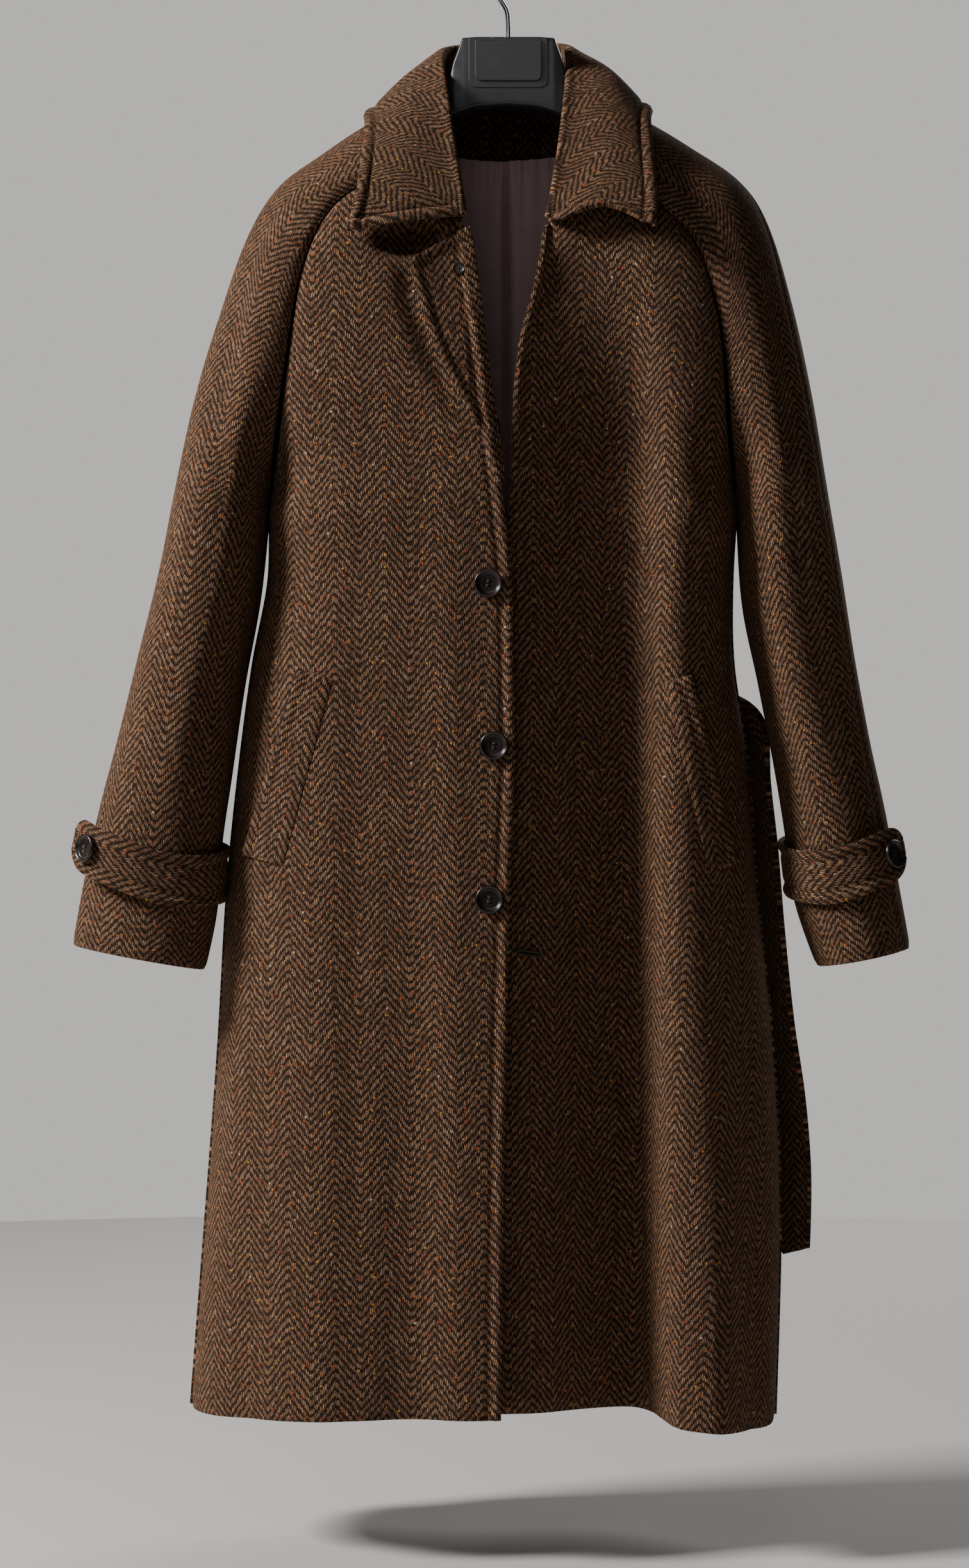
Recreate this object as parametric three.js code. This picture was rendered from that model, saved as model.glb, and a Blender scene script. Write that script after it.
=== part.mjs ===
// A balmacaan coat of heavy herringbone tweed on a black moulded hanger, in millimetres.
// X runs to the wearer's left, Y to the back and Z up. The origin is the inner top of
// the hanger's hook. Each cloth piece is a wall with its own seams, 0.3 mm from the next.
import * as THREE from "three";

// Driving sizes
const tweed = 3;
const doubledTweed = 5;
const liningCloth = 1.2;
const seamGap = 0.4;
const seatGap = 0.5;
const buttonDiameter = 25;
const buttonThickness = 5;
const beltWidth = 50;
const strapWidth = 47;
const facingDepth = 46;
const hemStep = 5;
const hookInnerRadius = 18;
const hookWire = 4;

// How finely the cloth is divided
const rowsPerLevel = 1.7;
const frontColumns = 14;
const backColumns = 18;
const sleeveColumns = 8;

// Turns rows of numbers into rows with named columns.
function table(names, rows) {
  return rows.map((row) => Object.fromEntries(names.map((name, i) => [name, row[i]])));
}

// Every column of a table at a place between 0 and its last row, on a smooth curve.
function along(rows, place) {
  const last = rows.length - 1;
  const clamped = Math.min(Math.max(place, 0), last);
  const i = Math.min(Math.floor(clamped), last - 1);
  const f = clamped - i;
  const [a, b, c, d] = [i - 1, i, i + 1, i + 2].map((k) => rows[Math.min(Math.max(k, 0), last)]);
  const result = {};
  for (const name of Object.keys(b)) {
    const slope = c[name] - a[name];
    const bend = 2 * a[name] - 5 * b[name] + 4 * c[name] - d[name];
    const twist = 3 * b[name] - a[name] - 3 * c[name] + d[name];
    result[name] = b[name] + 0.5 * f * (slope + f * (bend + f * twist));
  }
  return result;
}

const vector = (row) => new THREE.Vector3(row.x, row.y, row.z);
const degrees = (angle) => (angle * Math.PI) / 180;
const mix = (a, b, t) => a + (b - a) * t;
const bump = (distance, width) => Math.exp(-((distance / width) ** 2));

// Levels: 0 is the neck, 7 the underarm and 14 the hem. From 0 to 7 the fronts and the
// back end at the raglan seams, and from 7 to 14 at the side seams.
const underarmLevel = 7;
const hemLevel = 14;
const point = ["x", "y", "z"];

const body = {
  right: {
    frontEdge: table(point, [
      [-40, -92, -256],
      [-34, -96, -285],
      [-30, -99, -318],
      [-25, -102, -352],
      [-20, -104, -386],
      [-16, -106, -420],
      [-11, -108, -455],
      [-5, -110, -500],
      [2, -112, -565],
      [4, -113, -640],
      [5, -115, -730],
      [1, -120, -840],
      [-2, -129, -980],
      [-5, -139, -1130],
      [-7, -150, -1293],
    ]),
    raglanFront: table(point, [
      [-60, -52, -188],
      [-103, -66, -207],
      [-145, -73, -231],
      [-168, -80, -262],
      [-183, -84, -305],
      [-192, -84, -360],
      [-201, -74, -425],
      [-212, -12, -500],
    ]),
    raglanBack: table(point, [
      [-50, 48, -128],
      [-92, 58, -166],
      [-132, 68, -204],
      [-160, 76, -252],
      [-178, 82, -308],
      [-190, 82, -368],
      [-203, 66, -434],
      [-212, -12, -500],
    ]),
    sideSeam: table(point, [
      [-212, -12, -500],
      [-213, -6, -565],
      [-227, -4, -640],
      [-239, -3, -730],
      [-250, -3, -840],
      [-258, -4, -980],
      [-269, -6, -1130],
      [-282, -8, -1300],
    ]),
  },
  left: {
    frontEdge: table(point, [
      [30, -88, -262],
      [26, -100, -289],
      [19, -106, -322],
      [10, -110, -356],
      [5, -110, -390],
      [3, -107, -424],
      [2, -103, -458],
      [1, -102, -500],
      [-6, -104, -565],
      [-12, -105, -640],
      [-16, -107, -730],
      [-22, -112, -840],
      [-24, -121, -980],
      [-26, -131, -1130],
      [-28, -141, -1290],
    ]),
    raglanFront: table(point, [
      [60, -52, -188],
      [100, -66, -209],
      [136, -73, -241],
      [163, -80, -272],
      [179, -84, -318],
      [188, -84, -366],
      [193, -74, -428],
      [203, -12, -500],
    ]),
    raglanBack: table(point, [
      [50, 48, -128],
      [92, 58, -164],
      [132, 68, -202],
      [160, 76, -250],
      [178, 82, -308],
      [188, 82, -368],
      [196, 66, -434],
      [203, -12, -500],
    ]),
    sideSeam: table(point, [
      [203, -12, -500],
      [199, -8, -565],
      [200, -8, -640],
      [213, -8, -730],
      [221, -10, -840],
      [235, -14, -980],
      [241, -20, -1130],
      [236, -28, -1306],
    ]),
  },
};

const centreBack = table(point, [
  [0, 66, -124],
  [0, 78, -172],
  [0, 87, -225],
  [0, 92, -280],
  [0, 95, -335],
  [0, 97, -390],
  [0, 99, -445],
  [-1, 101, -500],
  [-2, 103, -565],
  [-4, 106, -640],
  [-6, 110, -730],
  [-9, 117, -840],
  [-13, 126, -980],
  [-17, 135, -1130],
  [-22, 144, -1302],
]);

// How far a front turns toward the back at its edge and at its seam, in degrees, and
// how far along those directions its curve is drawn.
const frontShape = table(
  ["edgeTurn", "edgeReach", "seamTurn", "seamReach"],
  [
    [40, 14, 70, 14],
    [22, 24, 30, 28],
    [14, 38, 24, 38],
    [8, 50, 28, 44],
    [5, 60, 34, 46],
    [3, 70, 44, 38],
    [2, 84, 66, 42],
    [0, 106, 90, 122],
    [0, 110, 90, 122],
    [0, 112, 90, 121],
    [0, 114, 90, 120],
    [0, 118, 90, 119],
    [0, 124, 90, 119],
    [0, 132, 90, 120],
    [0, 140, 90, 122],
  ],
);
const backShape = table(
  ["centreReach", "seamTurn", "seamReach"],
  [
    [22, 40, 16],
    [40, 20, 30],
    [56, 22, 40],
    [66, 28, 46],
    [72, 34, 48],
    [78, 44, 38],
    [88, 66, 42],
    [106, 90, 138],
    [108, 90, 136],
    [110, 90, 134],
    [114, 90, 133],
    [120, 90, 132],
    [128, 90, 132],
    [136, 90, 133],
    [144, 90, 134],
  ],
);

// Soft upright folds. A fold runs from its top to its foot, both given by X and Z. It
// stands out by its height at the foot, and its two widths are toward the middle and
// toward the side.
const foldColumns = ["topX", "topZ", "footX", "footZ", "height", "widthIn", "widthOut"];
const folds = {
  rightFront: table(foldColumns, [
    [-92, -330, -78, -1293, -11, 34, 44],
    [-150, -420, -168, -1293, 9, 40, 38],
    [-60, -560, -36, -1293, 5, 22, 26],
    [-210, -800, -232, -1293, -8, 24, 26],
  ]),
  leftFront: table(foldColumns, [
    [98, -230, 106, -430, -34, 78, 26],
    [108, -430, 122, -1293, -40, 90, 13],
    [172, -560, 196, -1293, 42, 38, 28],
    [150, -330, 150, -700, 6, 26, 30],
    [208, -700, 226, -1293, -6, 12, 14],
  ]),
  back: table(foldColumns, [
    [-60, -420, -92, -1302, 14, 36, 44],
    [84, -500, 116, -1302, 16, 40, 36],
    [-150, -600, -196, -1302, -12, 30, 28],
    [10, -560, 6, -1302, -12, 40, 40],
    [170, -700, 190, -1302, -8, 24, 24],
  ]),
};

// How far out the folds of a piece push a point.
function foldLift(foldRows, place) {
  let lift = 0;
  for (const fold of foldRows) {
    const down = Math.min(Math.max((fold.topZ - place.z) / (fold.topZ - fold.footZ), 0), 1);
    const across = place.x - mix(fold.topX, fold.footX, down);
    const outward = across * Math.sign(fold.footX) > 0;
    lift += fold.height * down ** 1.4 * bump(across, outward ? fold.widthOut : fold.widthIn);
  }
  return lift;
}

// A point between two ends of a curve that leaves each end in a given direction.
function curved(start, startPull, end, endPull, t) {
  const s = 1 - t;
  return start
    .clone()
    .multiplyScalar(s * s * s + 3 * s * s * t)
    .addScaledVector(startPull, 3 * s * s * t)
    .addScaledVector(endPull, 3 * s * t * t)
    .addScaledVector(end, t * t * t + 3 * s * t * t);
}

// The seam where a front or the back ends at a level, toward one side.
function seamPoint(side, raglan, level) {
  if (level <= underarmLevel) return vector(along(body[side][raglan], level));
  return vector(along(body[side].sideSeam, level - underarmLevel));
}

// The foot of the wearer's left front drops lower beyond its big fold.
function hemDrop(side, level, x) {
  if (side !== "left") return 0;
  const foot = Math.max(level - (hemLevel - 1), 0);
  return -hemStep * foot * (1 / (1 + Math.exp((134 - x) / 4)));
}

// A front: t runs from the front edge to the seam.
function frontPoint(side, level, t) {
  const outward = side === "right" ? -1 : 1;
  const shape = along(frontShape, level);
  const edge = vector(along(body[side].frontEdge, level));
  const seam = seamPoint(side, "raglanFront", level);
  const edgePull = new THREE.Vector3(
    outward * Math.cos(degrees(shape.edgeTurn)),
    Math.sin(degrees(shape.edgeTurn)),
    0,
  ).multiplyScalar(shape.edgeReach);
  const seamPull = new THREE.Vector3(
    -outward * Math.cos(degrees(shape.seamTurn)),
    -Math.sin(degrees(shape.seamTurn)),
    0,
  ).multiplyScalar(shape.seamReach);
  const place = curved(edge, edgePull, seam, seamPull, t);
  const fade = Math.sin(Math.PI * Math.min(t * 1.2 + 0.12, 1)) ** 0.7;
  const rows = side === "right" ? folds.rightFront : folds.leftFront;
  place.y -= foldLift(rows, place) * Math.min(fade, 1) * (1 - t ** 8);
  place.z += hemDrop(side, level, place.x) * (1 - t ** 12);
  return place;
}

// The back: t runs from the wearer's right seam, at 0, to the left seam, at 1.
function backPoint(level, t) {
  const shape = along(backShape, level);
  const side = t < 0.5 ? "right" : "left";
  const outward = side === "right" ? -1 : 1;
  const centre = vector(along(centreBack, level));
  const seam = seamPoint(side, "raglanBack", level);
  const centrePull = new THREE.Vector3(outward * shape.centreReach, 0, 0);
  const seamPull = new THREE.Vector3(
    -outward * Math.cos(degrees(shape.seamTurn)),
    Math.sin(degrees(shape.seamTurn)),
    0,
  ).multiplyScalar(shape.seamReach);
  const fromCentre = Math.abs(2 * t - 1);
  const place = curved(centre, centrePull, seam, seamPull, fromCentre);
  place.y += foldLift(folds.back, place) * (1 - fromCentre ** 6);
  return place;
}

// Sleeves: 0 is the neck, 7 the underarm and 13 the cuff. Each row gives the crest of
// the sleeve, half its depth from front to back, half the angle that its section spans
// round the crest, and where the overarm seam lies, as a share of the way to the front.
const cuffLevel = 13;
const crestColumns = ["x", "y", "z", "depth", "span", "seam"];
const sleeves = {
  right: {
    crest: table(crestColumns, [
      [-68, 2, -134, 50, 85, 0],
      [-118, 2, -152, 64, 88, 0],
      [-168, 2, -185, 72, 90, 0],
      [-206, 1, -215, 80, 92, 0],
      [-233, 0, -260, 86, 100, 0],
      [-257, -2, -328, 90, 110, 0.02],
      [-279, -4, -404, 95, 128, 0.04],
      [-297, -6, -488, 97, 180, 0.05],
      [-311, -8, -558, 90, 180, 0.05],
      [-330, -12, -634, 80, 180, 0.05],
      [-349, -18, -712, 70, 180, 0.05],
      [-363, -26, -768, 62, 180, 0.05],
      [-375, -32, -826, 54, 180, 0.05],
      [-386, -38, -889, 48, 180, 0.05],
    ]),
    underarm: table(point, [
      [-212, -12, -500],
      [-220, -15, -580],
      [-234, -20, -660],
      [-245, -28, -740],
      [-253, -36, -800],
      [-257, -42, -860],
      [-267, -46, -911],
    ]),
  },
  left: {
    crest: table(crestColumns, [
      [68, 2, -134, 50, 85, 0],
      [118, 2, -151, 64, 88, 0],
      [165, 2, -178, 72, 90, 0.02],
      [208, 1, -209, 80, 92, 0.08],
      [233, 0, -250, 86, 100, 0.2],
      [254, -2, -322, 90, 110, 0.28],
      [271, -4, -402, 95, 128, 0.28],
      [284, -6, -484, 95, 180, 0.22],
      [297, -9, -561, 86, 180, 0.22],
      [308, -13, -634, 80, 180, 0.22],
      [321, -19, -708, 76, 180, 0.22],
      [333, -27, -766, 72, 180, 0.22],
      [344, -33, -827, 68, 180, 0.22],
      [355, -39, -891, 64, 180, 0.22],
    ]),
    underarm: table(point, [
      [203, -12, -500],
      [208, -14, -585],
      [222, -19, -657],
      [236, -25, -732],
      [245, -33, -791],
      [253, -39, -851],
      [272, -45, -908],
    ]),
  },
};

// Folds of a sleeve: where each lies round it, from -1 at the front to 1 at the back,
// the levels it runs between, its height and its width round the sleeve.
const sleeveFoldColumns = ["roundTop", "roundFoot", "top", "foot", "height", "width"];
const sleeveFolds = {
  right: table(sleeveFoldColumns, [
    [-0.42, -0.62, 3, 10, -6, 0.12],
    [-0.2, -0.34, 5, 12, 5, 0.12],
    [0.4, 0.56, 3, 10, -6, 0.12],
  ]),
  left: table(sleeveFoldColumns, [
    [-0.5, -0.42, 4, 11, -6, 0.1],
    [-0.72, -0.62, 6, 12, 5, 0.1],
    [0.4, 0.52, 3, 10, -6, 0.12],
  ]),
};

// A sleeve: round runs from -1 at its front seam over the crest, at 0, to 1 at the back.
// Below the underarm both ends meet in the underarm seam.
function sleevePoint(side, level, round) {
  const crestRow = along(sleeves[side].crest, level);
  const crest = vector(crestRow);
  const closed = level > underarmLevel;
  const underarm = () => vector(along(sleeves[side].underarm, level - underarmLevel));
  const front = closed ? underarm() : vector(along(body[side].raglanFront, level));
  const back = closed ? front.clone() : vector(along(body[side].raglanBack, level));
  const span = degrees(Math.min(crestRow.span, 180));
  const cosine = Math.cos(span);
  const centre = front.clone().add(back).multiplyScalar(0.5);
  centre.addScaledVector(crest, -cosine).divideScalar(1 - cosine);
  const rise = crest.clone().sub(centre);
  const section = (angle) =>
    centre
      .clone()
      .addScaledVector(rise, Math.cos(angle))
      .add(new THREE.Vector3(0, crestRow.depth * Math.sin(angle), 0));
  const frontMiss = front.sub(section(-span));
  const backMiss = back.sub(section(span));
  const place = section(round * span)
    .addScaledVector(frontMiss, (round * (round - 1)) / 2)
    .addScaledVector(backMiss, (round * (round + 1)) / 2);
  const out = section(round * span).sub(centre).normalize();
  const fade = Math.max(1 - Math.abs(round) ** 6, 0);
  for (const fold of sleeveFolds[side]) {
    const down = (level - fold.top) / (fold.foot - fold.top);
    if (down <= 0 || down >= 1) continue;
    const at = mix(fold.roundTop, fold.roundFoot, down);
    const lift = fold.height * Math.sin(Math.PI * down) * bump(round - at, fold.width);
    place.addScaledVector(out, lift * fade);
  }
  return place;
}

// Levels of the rows between two levels.
function levelsBetween(first, last) {
  const steps = Math.round((last - first) * rowsPerLevel);
  return Array.from({ length: steps + 1 }, (_, i) => mix(first, last, i / steps));
}
const capLevels = levelsBetween(0, underarmLevel);
const skirtLevels = levelsBetween(underarmLevel, hemLevel).slice(1);
const armLevels = levelsBetween(underarmLevel, cuffLevel).slice(1);

// A net of points, in rows, with the direction that faces out at each of them.
function net(rowValues, columnCount, placeAt, flip) {
  const rows = rowValues.map((value) =>
    Array.from({ length: columnCount + 1 }, (_, c) => placeAt(value, c / columnCount)),
  );
  const last = rows.length - 1;
  const normals = rows.map((row, r) =>
    row.map((_, c) => {
      const down = rows[Math.min(r + 1, last)][c].clone().sub(rows[Math.max(r - 1, 0)][c]);
      const across = row[Math.min(c + 1, columnCount)].clone().sub(row[Math.max(c - 1, 0)]);
      return down.cross(across).normalize().multiplyScalar(flip ? -1 : 1);
    }),
  );
  return { rows, normals, flip };
}

// Where nets share a seam, their points there face the same way.
function joinNormals(nets) {
  const sums = new Map();
  const key = (place) => place.toArray().map((n) => Math.round(n * 20)).join();
  for (const { rows, normals } of nets) {
    rows.forEach((row, r) =>
      row.forEach((place, c) => {
        const name = key(place);
        if (!sums.has(name)) sums.set(name, new THREE.Vector3());
        sums.get(name).add(normals[r][c]);
      }),
    );
  }
  for (const { rows, normals } of nets) {
    rows.forEach((row, r) =>
      row.forEach((place, c) => normals[r][c].copy(sums.get(key(place))).normalize()),
    );
  }
}

// A closed wall between two nets of points, the outer one first.
function closedWall(outer, inner, flip) {
  const rowCount = outer.length;
  const columnCount = outer[0].length;
  const positions = [];
  for (const layer of [outer, inner]) {
    for (const row of layer) {
      for (const place of row) positions.push(place.x, place.y, place.z);
    }
  }
  const index = [];
  const at = (layer, r, c) => layer * rowCount * columnCount + r * columnCount + c;
  const quad = (a, b, c, d) => {
    if (flip) index.push(a, b, c, a, c, d);
    else index.push(a, c, b, a, d, c);
  };
  for (let r = 0; r < rowCount - 1; r++) {
    for (let c = 0; c < columnCount - 1; c++) {
      quad(at(0, r, c), at(0, r, c + 1), at(0, r + 1, c + 1), at(0, r + 1, c));
      quad(at(1, r, c), at(1, r + 1, c), at(1, r + 1, c + 1), at(1, r, c + 1));
    }
  }
  for (let c = 0; c < columnCount - 1; c++) {
    const r = rowCount - 1;
    quad(at(0, 0, c), at(1, 0, c), at(1, 0, c + 1), at(0, 0, c + 1));
    quad(at(0, r, c), at(0, r, c + 1), at(1, r, c + 1), at(1, r, c));
  }
  for (let r = 0; r < rowCount - 1; r++) {
    const c = columnCount - 1;
    quad(at(0, r, 0), at(0, r + 1, 0), at(1, r + 1, 0), at(1, r, 0));
    quad(at(0, r, c), at(1, r, c), at(1, r + 1, c), at(0, r + 1, c));
  }
  const geometry = new THREE.BufferGeometry();
  geometry.setAttribute("position", new THREE.Float32BufferAttribute(positions, 3));
  geometry.setIndex(index);
  geometry.computeVertexNormals();
  return geometry;
}

// The wall of a net: its edges are drawn back from the seams, and it is as thick as
// given, from the net inward, once lifted off the net.
function wall({ rows, normals, flip }, thickness, lift = 0) {
  const last = rows.length - 1;
  const edge = rows[0].length - 1;
  const back = seamGap / 2;
  const drawn = rows.map((row, r) =>
    row.map((place, c) => {
      const moved = place.clone();
      if (c === 0) moved.add(row[1].clone().sub(place).setLength(back));
      if (c === edge) moved.add(row[edge - 1].clone().sub(place).setLength(back));
      if (r === 0) moved.add(rows[1][c].clone().sub(place).setLength(back));
      if (r === last) moved.add(rows[last - 1][c].clone().sub(place).setLength(back));
      return moved;
    }),
  );
  const layer = (depth) =>
    drawn.map((row, r) =>
      row.map((place, c) => place.clone().addScaledVector(normals[r][c], depth)),
    );
  return closedWall(layer(lift), layer(lift - thickness), flip);
}

// A place on a net's facets, and the way it faces there.
function onNet({ rows, normals }, u, v) {
  const r = Math.min(Math.floor(u), rows.length - 2);
  const c = Math.min(Math.floor(v), rows[0].length - 2);
  const [f, g] = [u - r, v - c];
  const weights =
    g > f
      ? [[r, c, 1 - g], [r, c + 1, g - f], [r + 1, c + 1, f]]
      : [[r, c, 1 - f], [r + 1, c, f - g], [r + 1, c + 1, g]];
  const place = new THREE.Vector3();
  const normal = new THREE.Vector3();
  for (const [row, column, share] of weights) {
    place.addScaledVector(rows[row][column], share);
    normal.addScaledVector(normals[row][column], share);
  }
  return { place, normal: normal.normalize() };
}

// The row and column of a net that lie nearest a place seen from the front.
function findOnNet(cloth, x, z) {
  const rowCount = cloth.rows.length - 1;
  const columnCount = cloth.rows[0].length - 1;
  let best = { distance: Infinity };
  const tryAt = (u, v) => {
    if (u < 0 || v < 0 || u > rowCount || v > columnCount) return;
    const { place } = onNet(cloth, u, v);
    const distance = Math.hypot(place.x - x, place.z - z);
    if (distance < best.distance) best = { distance, u, v };
  };
  for (let u = 0; u <= rowCount; u++) {
    for (let v = 0; v <= columnCount; v++) tryAt(u, v);
  }
  for (let step = 0.5; step > 0.005; step /= 1.5) {
    const { u, v } = best;
    for (const down of [-step, 0, step]) {
      for (const across of [-step, 0, step]) tryAt(u + down, v + across);
    }
  }
  return best;
}

// A patch that lies on one side of a net's wall: facing is 1 outside and -1 inside. Its
// outline gives the place, as X and Z seen from the front, for a share down and a share
// across. The patch is raised where its own facets would sink into the wall.
const sunkMargin = 1.25;
function patch(cloth, outline, rowCount, columnCount, thickness, facing = 1) {
  const wallDepth = facing > 0 ? 0 : tweed;
  const spots = Array.from({ length: rowCount + 1 }, (_, i) =>
    Array.from({ length: columnCount + 1 }, (_, j) => {
      const [x, z] = outline(i / rowCount, j / columnCount);
      const { u, v } = findOnNet(cloth, x, z);
      return { u, v, ...onNet(cloth, u, v), sunk: 0 };
    }),
  );
  const shares = [0, 0.25, 0.5, 0.75, 1];
  for (let i = 0; i < rowCount; i++) {
    for (let j = 0; j < columnCount; j++) {
      const four = [spots[i][j], spots[i][j + 1], spots[i + 1][j], spots[i + 1][j + 1]];
      for (const s of shares) {
        for (const t of shares) {
          const weights = [(1 - s) * (1 - t), (1 - s) * t, s * (1 - t), s * t];
          const sum = (read) => weights.reduce((total, w, k) => total + w * read(four[k]), 0);
          const under = onNet(cloth, sum((spot) => spot.u), sum((spot) => spot.v));
          const over = new THREE.Vector3();
          weights.forEach((w, k) => over.addScaledVector(four[k].place, w));
          const sunk = under.place.sub(over).dot(under.normal) * facing;
          for (const spot of four) spot.sunk = Math.max(spot.sunk, sunk);
        }
      }
    }
  }
  const layer = (far) =>
    spots.map((row) =>
      row.map(({ place, normal, sunk }, j) => {
        const seat = wallDepth + seatGap + sunkMargin * sunk;
        const rise = seat + (far ? thickness(j / columnCount) : 0);
        return place.clone().addScaledVector(normal, facing * rise);
      }),
    );
  const [near, far] = [layer(false), layer(true)];
  return facing > 0 ? closedWall(far, near, cloth.flip) : closedWall(near, far, cloth.flip);
}

// The place inside four corners, each an X and a Z: top start, top end, foot start and
// foot end, in that order.
function insideCorners([a, b, c, d]) {
  return (s, t) => [0, 1].map((k) => mix(mix(a[k], b[k], t), mix(c[k], d[k], t), s));
}

// Collar: rows run from the front end, 0, to the middle of the back, 6. The stand rises
// from the neck seam to the roll, and the leaf falls from the roll to the outer edge.
const collarLast = 6;
const collarShape = {
  right: {
    neck: table(point, [
      [-43, -88, -253],
      [-49, -73, -223],
      [-57, -53, -188],
      [-63, -28, -155],
      [-65, 3, -128],
      [-48, 45, -121],
      [0, 63, -118],
    ]),
    roll: table(point, [
      [-39, -96, -250],
      [-43, -88, -226],
      [-49, -68, -186],
      [-55, -41, -138],
      [-59, -2, -99],
      [-49, 42, -82],
      [0, 61, -77],
    ]),
    outer: table(point, [
      [-140, -111, -268],
      [-133, -101, -239],
      [-128, -78, -203],
      [-125, -41, -166],
      [-124, 4, -149],
      [-94, 72, -144],
      [0, 88, -139],
    ]),
  },
  left: {
    neck: table(point, [
      [36, -87, -256],
      [45, -72, -224],
      [55, -54, -187],
      [63, -28, -155],
      [65, 4, -129],
      [48, 45, -121],
      [0, 63, -118],
    ]),
    roll: table(point, [
      [34, -95, -254],
      [39, -84, -229],
      [45, -65, -189],
      [51, -38, -140],
      [54, 0, -96],
      [47, 42, -80],
      [0, 61, -77],
    ]),
    outer: table(point, [
      [126, -109, -264],
      [128, -96, -237],
      [126, -72, -202],
      [124, -38, -162],
      [124, 4, -145],
      [94, 72, -143],
      [0, 88, -139],
    ]),
  },
};
const collarArch = { right: 6, left: 10 };
const collarEndArch = { right: -6, left: 4 };
const collarSteps = 22;
const collarColumns = 9;

// A collar section at a place: across runs from the neck seam, over the roll, to the
// outer edge.
function collarPoint(place, across) {
  const side = place < 0 ? "right" : "left";
  const level = collarLast - Math.abs(place);
  const neck = vector(along(collarShape[side].neck, level));
  const roll = vector(along(collarShape[side].roll, level));
  const outer = vector(along(collarShape[side].outer, level));
  const away = outer.clone().sub(roll).setZ(0).normalize();
  const end = Math.max(1 - level, 0) ** 2;
  const middle = roll.clone().lerp(outer, 0.5).addScaledVector(away, 3);
  middle.z += collarArch[side] + collarEndArch[side] * end;
  middle.y -= 5 * end;
  const shoulder = roll.clone().addScaledVector(away, 9);
  shoulder.z -= 3;
  const stand = neck.clone().lerp(roll, 0.7);
  const stops = [neck, stand, roll, shoulder, middle, outer];
  return vector(along(stops.map((stop) => ({ x: stop.x, y: stop.y, z: stop.z })), across * 5));
}

// The back lining hangs just inside the back, with a pleat down its middle.
const liningShape = { top: 1.22, foot: 13.4, rows: 15, columns: 14, inset: 9, share: 0.36 };
const pleat = { depth: 5, width: 5 };
function liningPoint(level, t) {
  const place = backPoint(level, mix(0.5 - liningShape.share, 0.5 + liningShape.share, t));
  const step = 1 / (1 + Math.exp(-(place.x - 1) / (pleat.width / 4)));
  place.y -= liningShape.inset + pleat.depth * step * bump(place.x - 1, 60);
  return place;
}

// A strap round a cuff: along runs from its sewn end at the back of the sleeve, past the
// inner side and the front, to its round end beside the outer edge.
const straps = {
  right: { from: -1.42, to: -0.12, levels: [11.36, 11.44, 11.7, 11.52], standOff: 13 },
  left: { from: -1.42, to: -0.17, levels: [11.42, 11.5, 11.74, 11.62], standOff: 9 },
};
const levelLength = 61;
const strapClear = 1.2;
const strapSteps = 18;
// The last part of a strap, where its end is rounded, has closer rows.
const strapEnd = { rows: 0.3, length: 0.16 };
function strapLift(side, round) {
  const rise = Math.min(Math.max((round + 0.62) / 0.42, 0), 1);
  return strapClear + straps[side].standOff * rise * rise * (3 - 2 * rise);
}
function strapPoint(side, round, across) {
  const strap = straps[side];
  const rows = strap.levels.map((level) => ({ level }));
  const share = (round - strap.from) / (strap.to - strap.from);
  const middle = along(rows, share * (rows.length - 1)).level;
  const outerWidth = sleevePoint(side, middle, 0).distanceTo(sleevePoint(side, middle, -1)) / 2;
  const toEnd = ((strap.to - round) * Math.PI * outerWidth) / (strapWidth / 2);
  const fromTip = Math.min(Math.max(toEnd, 0.03), 1);
  const half = (strapWidth / 2 / levelLength) * Math.sqrt(1 - (1 - fromTip) ** 2);
  return sleevePoint(side, middle + half * across, round);
}
function strapShare(row) {
  const even = row / strapSteps;
  const straight = 1 - strapEnd.rows;
  if (even < straight) return (even / straight) * (1 - strapEnd.length);
  const turn = ((even - straight) / strapEnd.rows) * (Math.PI / 2);
  return 1 - strapEnd.length + strapEnd.length * Math.sin(turn);
}
function strapNet(side) {
  const strap = straps[side];
  const rounds = Array.from({ length: strapSteps + 1 }, (_, i) =>
    mix(strap.from, strap.to, strapShare(i)),
  );
  const placeAt = (round, t) => strapPoint(side, round, t * 2 - 1);
  const cloth = net(rounds, 3, placeAt, side === "left");
  cloth.rows.forEach((row, r) => {
    const lift = strapLift(side, rounds[r]);
    row.forEach((place, c) => place.addScaledVector(cloth.normals[r][c], lift));
  });
  return { ...cloth, rounds };
}

// The belt crosses the back, through both loops, on rows worked out from the back. Each
// row of its two ends gives a place on its middle line and the way its width lies.
const beltColumns = ["x", "y", "z", "wideX", "wideY", "wideZ"];
const beltStart = table(beltColumns, [
  [-250, 94, -1150, -0.7, -0.7, 0],
  [-243, 92, -1040, -0.7, -0.7, 0],
  [-237, 90, -930, -0.7, -0.7, 0],
  [-233, 88, -845, -0.7, -0.7, 0],
  [-229, 84, -785, -0.68, -0.68, 0.15],
  [-226, 76, -735, -0.35, -0.45, 0.8],
]);
const beltEnd = table(beltColumns, [
  [219, 36, -706, 0.3, -0.5, 0.75],
  [225, 28, -746, 0.3, -0.95, 0.05],
  [230, 26, -805, 0.36, -0.93, 0],
  [236, 30, -880, 0.38, -0.92, 0],
  [243, 34, -960, 0.45, -0.89, 0],
  [250, 37, -1030, 0.6, -0.8, 0],
  [252, 38, -1100, 0.75, -0.66, 0],
  [250, 40, -1172, 0.8, -0.6, 0],
]);
const beltCrossing = { from: 0.115, to: 0.89, rows: 11, level: 9.53, sag: 0.1, clear: 4.4 };
const beltSteps = 64;
const beltPoint = 34;

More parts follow.
